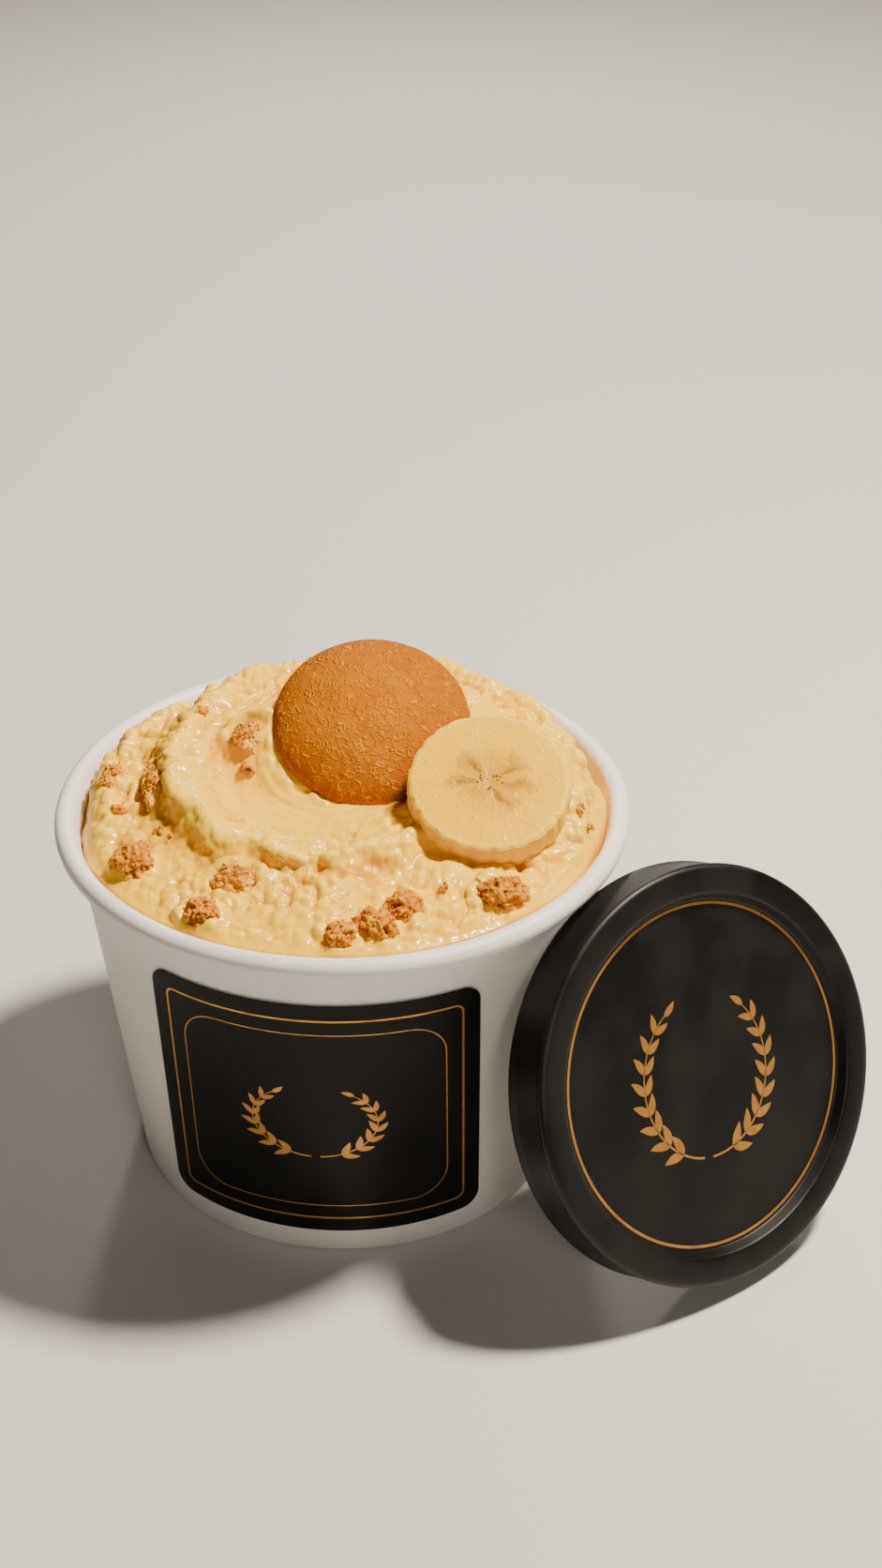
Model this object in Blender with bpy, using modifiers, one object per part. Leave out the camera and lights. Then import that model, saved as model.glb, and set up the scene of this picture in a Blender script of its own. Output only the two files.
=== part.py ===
"""Banana pudding in a paper tub: swirled pudding with a vanilla wafer, a banana slice and wafer
crumbs on top, and the tub's black lid standing on edge against its side.

Metres, +Z up. The origin is on the table, in the middle of what tub and lid cover together. The
sizes below are given from the centre of the tub's foot, and the front label faces -Y.
"""

import math

import bmesh
import bpy
from mathutils import Matrix, Vector, noise

# The centre of the tub's foot
TUB_PLACE = (-0.02538, 0.00343, 0)

# Tub
TUB_HEIGHT = 0.0808
RIM_RADIUS = 0.058
RIM_BEAD = 0.00206
WALL_TOP_RADIUS = 0.0539
FOOT_RADIUS = 0.04435
WALL = 0.0009
FOOT_FOLD = 0.0017
FLOOR_HEIGHT = 0.0055
FLOOR = 0.0009
GAP = 0.0003

# Front label
LABEL_WIDTH = 0.068
LABEL_BOTTOM = 0.0063
LABEL_TOP = 0.068
LABEL_CORNER = 0.004
LABEL = 0.00025

# Pudding: where its top meets the wall, the hollow's floor in the middle, and the high back
EDGE_HEIGHT = 0.0784
HOLLOW_HEIGHT = 0.0835
BACK_HEIGHT = 0.0928
BACK_RISE = 0.0070

# The swirl's crest winds in from the right, round the back, down the left and across the front.
# It lies in a plane that is high at the back left.
SWIRL_START = math.radians(6)
SWIRL_END = math.radians(346)
SWIRL_START_RADIUS = 0.0455
SWIRL_END_RADIUS = 0.0230
SWIRL_TIGHTENING = 0.79
SWIRL_HEIGHT = 0.0895
SWIRL_TILT = 0.0030
SWIRL_HIGH_SIDE = math.radians(112)
SWIRL_INSIDE = 0.0054
SWIRL_FRONT_INSIDE = 0.0075
SWIRL_OUTSIDE = 0.0046

# The outer fold runs along the wall on the left, and sinks towards the front
FOLD_START = math.radians(130)
FOLD_END = math.radians(232)
FOLD_RADIUS = 0.0470
FOLD_HEIGHT = 0.0848
FOLD_SINK = 0.0024
FOLD_WIDTH = 0.0034

# Rounded heaps: x, y, radius, height
HEAPS = (
    (0.0240, -0.0285, 0.0060, 0.0019),
    (-0.0100, -0.0350, 0.0030, 0.0014),
    (0.0060, -0.0400, 0.0070, 0.0010),
    (-0.0360, -0.0180, 0.0050, 0.0010),
    (0.0410, 0.0150, 0.0065, 0.0026),
    (0.0455, 0.0030, 0.0060, 0.0040),
    (0.0500, -0.0070, 0.0050, 0.0026),
    (0.0330, -0.0300, 0.0040, 0.0009),
    (-0.0020, -0.0460, 0.0050, 0.0008),
    (0.0080, -0.0145, 0.0065, 0.0014),
)

# Where the pudding stands back from the wall: middle and half width of the stretch, the radius
# where the top starts to drop, and how deep it drops
POCKETS = (
    (math.radians(34), math.radians(36), 0.0442, 0.0068),
    (math.radians(191), math.radians(17), 0.0490, 0.0042),
)

# Toppings: centre of the wafer's widest ring and of the slice's upper face, lean and heading
WAFER_RADIUS = 0.0201
WAFER_DOME = 0.0075
WAFER_PLACE = (0.0048, 0.0103, 0.0925)
SLICE_RADIUS = 0.0160
SLICE = 0.0075
SLICE_PLACE = (0.0306, -0.0121, 0.0941)
LEAN = math.radians(26)
HEADING = math.radians(7)

# The pudding's bed under each: how far below the place it lies, its radius, how the heap curves
# and slopes away past its edge, and how softly it blends in
BEDS = (
    (WAFER_PLACE, 0.0004, WAFER_RADIUS, 22, 0.27, 0.0035),
    (SLICE_PLACE, SLICE - 0.0003, SLICE_RADIUS, 30, 0.32, 0.0030),
)

# The pudding never covers the wafer: its lip round the edge, and how steeply it may rise outward
WAFER_LIP = 0.0008
WAFER_SLOPE = 0.75

# Crumbs of wafer: x, y, length, width, turn in degrees, how far the middle lies above the pudding
CRUMBS = (
    (-0.0369, -0.0289, 0.0088, 0.0074, 70, 0.0012),
    (-0.0164, -0.0343, 0.0080, 0.0068, 20, 0.0008),
    (-0.0208, -0.0440, 0.0074, 0.0068, 100, 0.0008),
    (0.0059, -0.0485, 0.0064, 0.0056, 40, 0.0006),
    (0.0121, -0.0455, 0.0080, 0.0070, 150, 0.0009),
    (0.0166, -0.0390, 0.0078, 0.0064, 60, 0.0007),
    (0.0350, -0.0328, 0.0100, 0.0078, 20, 0.0010),
    (-0.0366, -0.0058, 0.0125, 0.0058, 97, 0.0008),
    (-0.0200, 0.0072, 0.0092, 0.0060, 100, -0.0004),
    (-0.0466, -0.0008, 0.0082, 0.0052, 78, 0.0004),
)

# Bits too small to be pieces of their own: x, y, size
BITS = (
    (-0.0433, -0.0119, 0.0030),
    (-0.0332, -0.0196, 0.0032),
    (-0.0306, -0.0216, 0.0026),
    (-0.0191, -0.0002, 0.0036),
    (0.0481, -0.0084, 0.0030),
    (0.0495, -0.0111, 0.0028),
    (-0.0306, 0.0136, 0.0028),
    (0.0238, -0.0331, 0.0026),
)

# Lid: outer radius, depth, and how it stands against the tub
LID_RADIUS = 0.0421
LID_DEPTH = 0.0114
LID_RING_INNER = 0.0364
LID_PANEL_RADIUS = 0.0350
LID_PANEL_DROP = 0.0021
LID_WALL = 0.0011
LID_BEAD = 0.0011
LID_PLACE = (0.0768, -0.0339, 0.04267)
LID_HEADING = math.radians(43.8)
LID_LEAN = math.radians(24.6)


def material(name, colour, roughness, metallic=0.0):
    made = bpy.data.materials.new(name)
    made.use_nodes = True
    shader = made.node_tree.nodes["Principled BSDF"]
    shader.inputs["Base Color"].default_value = (*colour, 1.0)
    shader.inputs["Roughness"].default_value = roughness
    shader.inputs["Metallic"].default_value = metallic
    return made


def collection(name):
    made = bpy.data.collections.new(name)
    bpy.context.scene.collection.children.link(made)
    return made


def add(mesh, name, group, look=None):
    """A new object in the group, made of the mesh and, if one is given, the material."""
    body = bpy.data.objects.new(name, mesh)
    if look is not None:
        mesh.materials.clear()
        mesh.materials.append(look)
    group.objects.link(body)
    return body


def smooth(mesh, angle=35):
    mesh.shade_smooth()
    mesh.set_sharp_from_angle(angle=math.radians(angle))


def arc(centre, radius, start, end, steps):
    """Points on an arc in the (radius, height) plane, angles in degrees."""
    for step in range(steps + 1):
        angle = math.radians(start + (end - start) * step / steps)
        yield (centre[0] + radius * math.cos(angle), centre[1] + radius * math.sin(angle))


def turned(name, profile, steps, closed):
    """A mesh turned round Z from a profile that runs down its outer side."""
    outline = bpy.data.meshes.new(name)
    edges = [(i, i + 1) for i in range(len(profile) - 1)]
    if closed:
        edges.append((len(profile) - 1, 0))
    outline.from_pydata([(r, 0, z) for r, z in profile], edges, [])
    body = bpy.data.objects.new(name, outline)
    bpy.context.scene.collection.objects.link(body)
    screw = body.modifiers.new("Turn", "SCREW")
    screw.axis = "Z"
    screw.steps = steps
    screw.render_steps = steps
    screw.use_merge_vertices = True
    screw.merge_threshold = 0.00001
    mesh = baked(body, name)
    smooth(mesh)
    return mesh


def baked(body, name):
    """The object's mesh with its modifiers applied. The object itself is removed."""
    bpy.context.view_layer.update()
    shaped = body.evaluated_get(bpy.context.evaluated_depsgraph_get())
    mesh = bpy.data.meshes.new_from_object(shaped)
    mesh.name = name
    bpy.data.objects.remove(body)
    return mesh


def standing(place, heading, lean):
    """Local +Z leans from upright towards the heading, measured from -Y towards +X."""
    turn = Matrix.Rotation(heading, 4, "Z")
    tip = Matrix.Rotation(lean, 4, "X")
    return Matrix.Translation(place) @ turn @ tip


def wall_radius(height):
    """The tub wall's outer radius at a height."""
    top = TUB_HEIGHT - 2 * RIM_BEAD
    return FOOT_RADIUS + (WALL_TOP_RADIUS - FOOT_RADIUS) * height / top


def cup_wall(group):
    """The tapered wall, rolled into a bead at the top and folded in double at the foot."""
    bead = (RIM_RADIUS - RIM_BEAD, TUB_HEIGHT - RIM_BEAD)
    fold_top = FLOOR_HEIGHT - GAP
    profile = [
        *arc(bead, RIM_BEAD, 150, -150, 8),
        (wall_radius(0.0765), 0.0765),
        (FOOT_RADIUS, 0),
        (FOOT_RADIUS - FOOT_FOLD, 0),
        (wall_radius(fold_top) - FOOT_FOLD, fold_top),
        (wall_radius(fold_top) - WALL, fold_top),
        (wall_radius(0.0765) - WALL, 0.0765),
    ]
    mesh = turned("cup_wall", profile, 64, True)
    return add(mesh, "cup_wall", group, material("Paper", (0.87, 0.85, 0.81), 0.6))


def cup_base(group):
    """The flat floor, set up inside the foot."""
    edge = wall_radius(FLOOR_HEIGHT) - WALL - GAP
    profile = [
        (0, FLOOR_HEIGHT + FLOOR),
        (edge, FLOOR_HEIGHT + FLOOR),
        (edge, FLOOR_HEIGHT),
        (0, FLOOR_HEIGHT),
    ]
    mesh = turned("cup_base", profile, 72, False)
    return add(mesh, "cup_base", group, material("Paper base", (0.85, 0.83, 0.79), 0.65))


def label(group):
    """The front label, a thin skin that follows the wall, with rounded corners."""
    half = LABEL_WIDTH / 2
    inner = half - LABEL_CORNER
    corner = [
        (-inner - LABEL_CORNER * math.cos(turn), LABEL_CORNER * (1 - math.sin(turn)))
        for turn in (math.radians(90 * step / 5) for step in range(6))
    ]
    middle = [(-inner + 2 * inner * step / 14, 0.0) for step in range(1, 14)]
    columns = corner + middle + [(-across, cut) for across, cut in reversed(corner)]
    form = bmesh.new()
    rows = 4
    grid = []
    for across, cut in columns:
        column = []
        for row in range(rows + 1):
            height = LABEL_BOTTOM + cut + (LABEL_TOP - LABEL_BOTTOM - 2 * cut) * row / rows
            radius = wall_radius(height) + GAP
            angle = across / radius
            column.append(form.verts.new((radius * math.sin(angle), -radius * math.cos(angle), height)))
        grid.append(column)
    for first, second in zip(grid, grid[1:]):
        for row in range(rows):
            form.faces.new((first[row], second[row], second[row + 1], first[row + 1]))
    mesh = bpy.data.meshes.new("label")
    form.to_mesh(mesh)
    form.free()
    body = bpy.data.objects.new("label", mesh)
    bpy.context.scene.collection.objects.link(body)
    shell = body.modifiers.new("Paper", "SOLIDIFY")
    shell.thickness = LABEL
    shell.offset = 1.0
    mesh = baked(body, "label")
    smooth(mesh)
    return add(mesh, "label", group, material("Label", (0.012, 0.012, 0.012), 0.45))


def eased(value, start, end):
    """0 before start, 1 after end, and smooth between."""
    part = max(0.0, min(1.0, (value - start) / (end - start)))
    return part * part * (3 - 2 * part)


def between(value, start, end, ramp):
    """1 between the two ends, eased to 0 over the ramp inside each."""
    return eased(value, start, start + ramp) * (1 - eased(value, end - ramp, end))


def ridge(offset, inside, outside):
    """A ridge's section: a long slope on the inner side and a steep one on the outer side."""
    width = inside if offset < 0 else outside
    return math.exp(-((offset / width) ** 2))


def higher(first, second, blend):
    """The higher of two surfaces, with the valley between them filled in softly."""
    gap = max(0.0, min(1.0, 0.5 + (second - first) / (2 * blend)))
    return first + (second - first) * gap + blend * gap * (1 - gap)


def bed(x, y, place, below, radius, curve, slope):
    """Height of the pudding heaped under a leaning round topping, easing off past its edge."""
    out = Vector((math.sin(HEADING) * math.sin(LEAN), -math.cos(HEADING) * math.sin(LEAN), math.cos(LEAN)))
    foot = Vector(place) - out * below
    rise = -(out.x * (x - foot.x) + out.y * (y - foot.y)) / out.z
    reach = max(0.0, Vector((x - foot.x, y - foot.y, rise)).length - radius)
    return min(foot.z + rise, BACK_HEIGHT) - curve * reach ** 2 - slope * reach


def swirled(height, radius, angle):
    """The height with the swirl's crest and the outer fold laid on it."""
    along = max(0.0, min(1.0, (angle - SWIRL_START) / (SWIRL_END - SWIRL_START)))
    crest = SWIRL_START_RADIUS - (SWIRL_START_RADIUS - SWIRL_END_RADIUS) * along ** SWIRL_TIGHTENING
    peak = SWIRL_HEIGHT + SWIRL_TILT * math.cos(angle - SWIRL_HIGH_SIDE)
    peak -= 0.0010 * eased(angle, math.radians(285), math.radians(335))
    front = eased(angle, math.radians(215), math.radians(265))
    inside = SWIRL_INSIDE + (SWIRL_FRONT_INSIDE - SWIRL_INSIDE) * front
    shape = ridge(radius - crest, inside, SWIRL_OUTSIDE) * between(angle, SWIRL_START, SWIRL_END, 0.55)
    height += max(0.0, peak - height) * shape
    sunk = FOLD_HEIGHT - FOLD_SINK * (angle - FOLD_START)
    shape = ridge(radius - FOLD_RADIUS, FOLD_WIDTH, FOLD_WIDTH) * between(angle, FOLD_START, FOLD_END, 0.4)
    return height + max(0.0, sunk - height) * shape


def pudding_top(x, y):
    """Height of the pudding's top over a point of the tub."""
    radius = math.hypot(x, y)
    angle = math.atan2(y, x) % math.tau
    full = max(0.0, 1 - (radius / 0.0533) ** 2)
    middle = HOLLOW_HEIGHT - EDGE_HEIGHT + BACK_RISE * eased(y - 0.45 * x, 0.0, 0.038)
    height = EDGE_HEIGHT + middle * full ** 0.8
    for place, below, size, curve, slope, blend in BEDS:
        height = higher(height, bed(x, y, place, below, size, curve, slope), blend)
    height = swirled(height, radius, angle)
    for heap_x, heap_y, size, lift in HEAPS:
        near = ((x - heap_x) ** 2 + (y - heap_y) ** 2) / size ** 2
        height += lift * math.exp(-near)
    lip = bed(x, y, WAFER_PLACE, 0.0004, WAFER_RADIUS, 0, -WAFER_SLOPE) + WAFER_LIP
    height = -higher(-height, -lip, 0.0012)
    for middle_angle, spread, start, depth in POCKETS:
        apart = (angle - middle_angle + math.pi) % math.tau - math.pi
        height -= depth * math.exp(-((apart / spread) ** 4)) * eased(radius, start, start + 0.0045)
    curds = noise.noise(Vector((x, y, 0)) * 150) + 0.6 * noise.noise(Vector((x, y, 0.1)) * 320)
    return height + 0.0010 * curds * min(1.0, 6 * full + 0.2)


def pudding_body():
    """Fills the tub from its floor to the swirled top."""
    foot = FLOOR_HEIGHT + FLOOR + GAP
    brim = wall_radius(EDGE_HEIGHT) - WALL - GAP
    rings = 25
    profile = [(brim * (ring / rings) ** 0.9, EDGE_HEIGHT) for ring in range(rings + 1)]
    profile += [(wall_radius(foot) - WALL - GAP, foot), (0, foot)]
    mesh = turned("pudding", profile, 80, False)
    slope = (WALL_TOP_RADIUS - FOOT_RADIUS) / (TUB_HEIGHT - 2 * RIM_BEAD)
    for point in mesh.vertices:
        if point.co.z > foot + 0.001:
            height = pudding_top(point.co.x, point.co.y)
            if math.hypot(point.co.x, point.co.y) > brim - 0.0001:
                spread = 1 + slope * min(height - EDGE_HEIGHT, 0.001) / brim
                point.co.x *= spread
                point.co.y *= spread
            point.co.z = height
    return mesh


def dome_angles(steps):
    """Angles from the crown of a dome down to its rim."""
    return [math.radians(90 * step / steps) for step in range(1, steps + 1)]


def wafer_mesh(grow=0.0):
    """A domed wafer with a flat underside. Local z = 0 is its widest ring."""
    radius = WAFER_RADIUS + grow
    dome = WAFER_DOME + grow
    profile = [(0, dome)]
    profile += [(radius * math.sin(turn), dome * math.cos(turn)) for turn in dome_angles(8)]
    profile += [(radius - 0.0003, -0.0008), (radius - 0.0013, -0.002 - grow), (0, -0.002 - grow)]
    return turned("wafer", profile, 40, False)


def slice_mesh(grow=0.0):
    """A round of banana with slightly rounded edges. Local z = 0 is its upper face."""
    radius = SLICE_RADIUS + grow
    soft = 0.0006
    profile = [
        (0, grow),
        (radius - soft, grow),
        (radius, grow - soft),
        (radius, soft - SLICE - grow),
        (radius - soft, -SLICE - grow),
        (0, -SLICE - grow),
    ]
    return turned("banana_slice", profile, 48, False)


def crumb_mesh(name, length, width, seed, detail, grow=0.0):
    """A broken lump: a ball whose surface is knocked in and out."""
    form = bmesh.new()
    bmesh.ops.create_icosphere(form, subdivisions=detail, radius=0.5)
    for point in form.verts:
        way = point.co.normalized()
        knock = noise.noise(way * 1.3 + Vector((seed, 0, 0)))
        knock += 0.5 * noise.noise(way * 3.1 + Vector((0, seed, 0)))
        size = 1 + 0.28 * knock
        point.co.x *= length * size + 2 * grow
        point.co.y *= width * size + 2 * grow
        point.co.z *= 0.85 * width * size + 2 * grow
    mesh = bpy.data.meshes.new(name)
    form.to_mesh(mesh)
    form.free()
    smooth(mesh, 50)
    return mesh


def crumb_pose(x, y, turn, above):
    place = (x, y, pudding_top(x, y) + above)
    return Matrix.Translation(place) @ Matrix.Rotation(math.radians(turn), 4, "Z")


def toppings(group, cutters):
    """The wafer, the banana slice and the crumbs, each with a slightly larger cutter."""
    wafer_look = material("Wafer", (0.62, 0.30, 0.085), 0.75)
    slice_look = material("Banana", (0.80, 0.63, 0.28), 0.4)
    crumb_look = material("Crumb", (0.60, 0.29, 0.09), 0.85)
    wafer_pose = standing(WAFER_PLACE, HEADING, LEAN)
    slice_pose = standing(SLICE_PLACE, HEADING, LEAN)
    add(wafer_mesh(), "wafer", group, wafer_look).matrix_world = wafer_pose
    add(wafer_mesh(GAP), "wafer_cutter", cutters).matrix_world = wafer_pose
    add(slice_mesh(), "banana_slice", group, slice_look).matrix_world = slice_pose
    add(slice_mesh(GAP), "slice_cutter", cutters).matrix_world = slice_pose
    for number, (x, y, length, width, turn, above) in enumerate(CRUMBS, 1):
        pose = crumb_pose(x, y, turn, above)
        detail = 3 if length > 0.0095 else 2
        name = f"crumb_{number}"
        add(crumb_mesh(name, length, width, number, detail), name, group, crumb_look).matrix_world = pose
        cutter = crumb_mesh(name, length, width, number, detail, 1.15 * GAP)
        add(cutter, f"{name}_cutter", cutters).matrix_world = pose
    for cutter in cutters.objects:
        cutter.hide_render = True
        cutter.display_type = "WIRE"


def joined(body, others, operation):
    """One Boolean of the body with a whole collection."""
    cut = body.modifiers.new(operation.title(), "BOOLEAN")
    cut.operation = operation
    cut.operand_type = "COLLECTION"
    cut.collection = others
    cut.solver = "EXACT"
    return cut


def pudding(group, cutters):
    """The pudding with the smallest bits fused on and the toppings' beds pressed in."""
    body = add(pudding_body(), "pudding", group)
    bits = collection("Bits")
    for number, (x, y, size) in enumerate(BITS):
        bit = add(crumb_mesh("bit", size, 0.8 * size, 20 + number, 2), f"bit_{number}", bits)
        bit.matrix_world = crumb_pose(x, y, 40 * number, 0.0004)
    joined(body, bits, "UNION")
    joined(body, cutters, "DIFFERENCE")
    mesh = baked(body, "pudding")
    for bit in list(bits.objects):
        bpy.data.objects.remove(bit)
    bpy.data.collections.remove(bits)
    mesh = largest_piece(mesh)
    smooth(mesh, 50)
    return add(mesh, "pudding", group, material("Pudding", (0.86, 0.68, 0.33), 0.35))


def largest_piece(mesh):
    """Drops the loose scraps that a cut can leave."""
    form = bmesh.new()
    form.from_mesh(mesh)
    left = set(form.verts)
    pieces = []
    while left:
        piece = set()
        reach = [left.pop()]
        while reach:
            point = reach.pop()
            piece.add(point)
            for edge in point.link_edges:
                other = edge.other_vert(point)
                if other in left:
                    left.remove(other)
                    reach.append(other)
        pieces.append(piece)
    keep = max(pieces, key=len)
    bmesh.ops.delete(form, geom=[point for point in form.verts if point not in keep], context="VERTS")
    form.to_mesh(mesh)
    form.free()
    return mesh


def lid(group):
    """The lid: a raised ring round a sunken panel, and a skirt with a rolled edge.

    Local z = 0 is the top of the ring, and the skirt hangs below it.
    """
    inside = LID_RADIUS - LID_WALL
    bead = (LID_RADIUS - LID_BEAD, LID_BEAD - LID_DEPTH)
    ring_under = -LID_WALL
    panel_under = -LID_PANEL_DROP - LID_WALL
    profile = [
        (0, -LID_PANEL_DROP),
        (LID_PANEL_RADIUS, -LID_PANEL_DROP),
        (LID_RING_INNER, 0),
        *arc((LID_RADIUS - 0.0018, -0.0018), 0.0018, 90, 0, 3),
        *arc(bead, LID_BEAD, 0, -180, 5),
        (inside - LID_BEAD, 2 * LID_BEAD - LID_DEPTH),
        (inside, 2.4 * LID_BEAD - LID_DEPTH),
        (inside, ring_under - 0.001),
        (inside - 0.001, ring_under),
        (LID_RING_INNER + 0.0004, ring_under),
        (LID_PANEL_RADIUS + 0.0004, panel_under),
        (0, panel_under),
    ]
    mesh = turned("lid", profile, 52, False)
    body = add(mesh, "lid", group, material("Lid", (0.014, 0.014, 0.015), 0.35))
    body.matrix_world = standing(LID_PLACE, LID_HEADING, math.pi / 2 - LID_LEAN)
    return body


def main():
    for old in list(bpy.data.objects):
        bpy.data.objects.remove(old)
    group = collection("Banana pudding")
    stand = bpy.data.objects.new("stand", None)
    stand.location = TUB_PLACE
    group.objects.link(stand)
    cutters = collection("Cutters")
    cup_wall(group)
    cup_base(group)
    label(group)
    toppings(group, cutters)
    pudding(group, cutters)
    lid(group)
    for body in (*group.objects, *cutters.objects):
        if body != stand:
            body.parent = stand


main()
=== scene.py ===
# %% [markdown]
# # Banana pudding in a paper tub
#
# The pudding is dressed in three kinds of pieces: soft cream that is one displaced surface, dry
# baked pieces whose crumb is real relief, and plain turned packaging. Sizes are in metres and
# every place is worked out from the frame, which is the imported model.

import itertools
import math

import bmesh
import bpy
import numpy as np
from mathutils import Matrix, Vector, noise


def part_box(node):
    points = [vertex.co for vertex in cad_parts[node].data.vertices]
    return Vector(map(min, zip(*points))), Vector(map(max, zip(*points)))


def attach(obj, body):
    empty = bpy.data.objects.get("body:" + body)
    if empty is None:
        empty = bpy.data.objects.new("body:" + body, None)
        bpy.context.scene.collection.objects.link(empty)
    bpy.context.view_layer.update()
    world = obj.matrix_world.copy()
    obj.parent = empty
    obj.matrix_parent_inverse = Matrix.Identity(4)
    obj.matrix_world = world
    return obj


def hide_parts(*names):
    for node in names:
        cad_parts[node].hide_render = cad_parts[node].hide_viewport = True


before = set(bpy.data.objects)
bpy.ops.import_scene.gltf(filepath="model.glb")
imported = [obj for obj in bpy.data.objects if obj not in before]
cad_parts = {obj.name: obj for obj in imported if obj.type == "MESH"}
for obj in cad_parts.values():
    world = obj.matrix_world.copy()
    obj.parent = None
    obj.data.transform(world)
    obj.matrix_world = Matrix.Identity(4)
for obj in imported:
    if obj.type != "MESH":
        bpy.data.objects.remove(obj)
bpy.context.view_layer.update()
print("frame nodes:", len(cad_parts))

# %% [markdown]
# The tub's axis is the middle of its floor. Everything that sits in or on the tub is described
# from the point where this axis meets the table, so one shift puts all of it in place. The wall
# is a plain cone, so one slope gives its radius at any height.

# %% Tub axis and wall
MM = 0.001
floor_low, floor_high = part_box("cup_base")
wall_low, wall_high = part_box("cup_wall")
AXIS = Vector(((floor_low.x + floor_high.x) / 2, (floor_low.y + floor_high.y) / 2, 0))
RIM_RADIUS = (wall_high.x - wall_low.x) / 2
TUB_HEIGHT = 80.8 * MM
RIM_BEAD = 2.06 * MM
FOOT_RADIUS = 44.35 * MM
WALL_TOP_RADIUS = 53.9 * MM
print("tub axis:", tuple(round(v, 4) for v in AXIS), "rim radius:", round(RIM_RADIUS, 4))


def wall_radius(height):
    """The tub wall's outer radius at a height."""
    slope = (WALL_TOP_RADIUS - FOOT_RADIUS) / (TUB_HEIGHT - 2 * RIM_BEAD)
    return FOOT_RADIUS + slope * height


# %% [markdown]
# Cream, crumb and peel all need irregularity that comes out the same every time. Two small
# patterns do it: a smooth swell, and curds, which are rounded bumps packed side by side. Both
# start from a number made out of each cell's own position, so nothing is drawn at random.

# %% Patterns
# how far a curd may stand off its cell's middle, its least size and its reach
CURD_JITTER, CURD_LEAST, CURD_REACH = 0.38, 0.55, 0.75


def cell_number(cells, seed):
    """A repeatable number from 0 to 1 for each row of whole numbers.

    The large factors only scramble the bits, and 0xFFFFFFFF keeps 32 of them.
    """
    x, y, z = cells.T.astype(np.int64)
    mixed = (x * 374761393 + y * 668265263 + z * 1440662683 + seed * 974634777) & 0xFFFFFFFF
    mixed = ((mixed ^ (mixed >> 13)) * 1274126177) & 0xFFFFFFFF
    mixed = ((mixed ^ (mixed >> 16)) * 2146121005) & 0xFFFFFFFF
    return (mixed ^ (mixed >> 15)) / 4294967296.0


def swell(points, size, seed):
    """Smooth noise from -1 to 1, with features of about the given size."""
    scaled = points / size
    cells = np.floor(scaled)
    part = scaled - cells
    part = part ** 3 * (part * (part * 6 - 15) + 10)
    total = np.zeros(len(points))
    for corner in itertools.product((0, 1), repeat=3):
        weight = np.prod(np.where(np.array(corner), part, 1 - part), axis=1)
        total += weight * cell_number(cells + corner, seed)
    return 2 * total - 1


def curds(points, size, seed):
    """Rounded bumps from 0, in the creases, to 1, on each bump's middle."""
    scaled = points / size
    cells = np.floor(scaled)
    best = np.zeros(len(points))
    for step in itertools.product((-1, 0, 1), repeat=3):
        near = cells + step
        middle = near + 0.5 + CURD_JITTER * np.stack(
            [2 * cell_number(near, seed + axis) - 1 for axis in range(3)], axis=1
        )
        bulk = CURD_LEAST + 0.45 * cell_number(near, seed + 7)
        round_it = np.sum((scaled - middle) ** 2, axis=1) / CURD_REACH
        best = np.maximum(best, bulk * (1 - round_it))
    return best


def eased(value, start, end):
    """0 before start, 1 after end, and smooth between."""
    part = np.clip((value - start) / (end - start), 0, 1)
    return part * part * (3 - 2 * part)


print("eased, a quarter of the way:", round(float(eased(0.25, 0, 1)), 3))

# %% [markdown]
# Most of the forms below are computed for all points at once, as rows of x, y and z. Two more
# small helpers keep that readable: one makes such rows, and one measures how far a direction is
# from another, which has to work across the place where angles start again at 0.

# %% Rows of points
def points_of(x, y, z=0.0):
    """Rows of x, y and z, where z may be one number for all."""
    return np.stack([x, y, np.broadcast_to(z, x.shape)], axis=1)


def apart(angle, degrees):
    """How far angles are from a direction in degrees, from -pi to pi."""
    return (angle - math.radians(degrees) + math.pi) % math.tau - math.pi


print("20 to 350 degrees:", round(math.degrees(apart(math.radians(350), 20))), "degrees apart")

# %% [markdown]
# Each piece becomes a mesh object, rides on the one body and stands for its solid. One helper
# does this for every piece, so none is forgotten. It also keeps each point's place on the piece's
# own axes, because a finish that follows the piece has to read places that turn with it.

# %% Piece helper
CRISP_ANGLE = math.radians(30)


def piece(name, mesh, look, slot, *nodes, at=None, crisp=False):
    """A new object in place of the nodes. A crisp one keeps its folded edges sharp.

    The mesh is set down where it stands, and its points keep their places on the piece's own axes.
    """
    own = np.empty(3 * len(mesh.vertices), np.float32)
    mesh.vertices.foreach_get("co", own)
    mesh.attributes.new("own_place", "FLOAT_VECTOR", "POINT").data.foreach_set("vector", own)
    if at is not None:
        mesh.transform(Matrix.Translation(-AXIS) @ at)
    body = bpy.data.objects.new(name, mesh)
    bpy.context.scene.collection.objects.link(body)
    body.matrix_world = Matrix.Translation(AXIS)
    mesh.materials.append(look)
    mesh.shade_smooth()
    if crisp:
        mesh.set_sharp_from_angle(angle=CRISP_ANGLE)
    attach(body, "root")
    if nodes:
        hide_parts(*nodes)
    print(f"{name}: {len(mesh.polygons)} faces")
    return body


def mesh_of(name, points, faces):
    mesh = bpy.data.meshes.new(name)
    mesh.from_pydata([tuple(p) for p in np.asarray(points).tolist()], [], faces)
    mesh.update()
    return mesh


def keep(mesh, name, values):
    """Stores one number for each point, which a material can read by name."""
    layer = mesh.attributes.new(name, "FLOAT", "POINT")
    layer.data.foreach_set("value", np.asarray(values, np.float32))


def standing(place, heading, lean):
    """Local +Z leans from upright towards the heading, measured from -Y towards +X."""
    turn = Matrix.Rotation(heading, 4, "Z")
    tip = Matrix.Rotation(lean, 4, "X")
    return Matrix.Translation(AXIS + Vector(place)) @ turn @ tip


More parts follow.
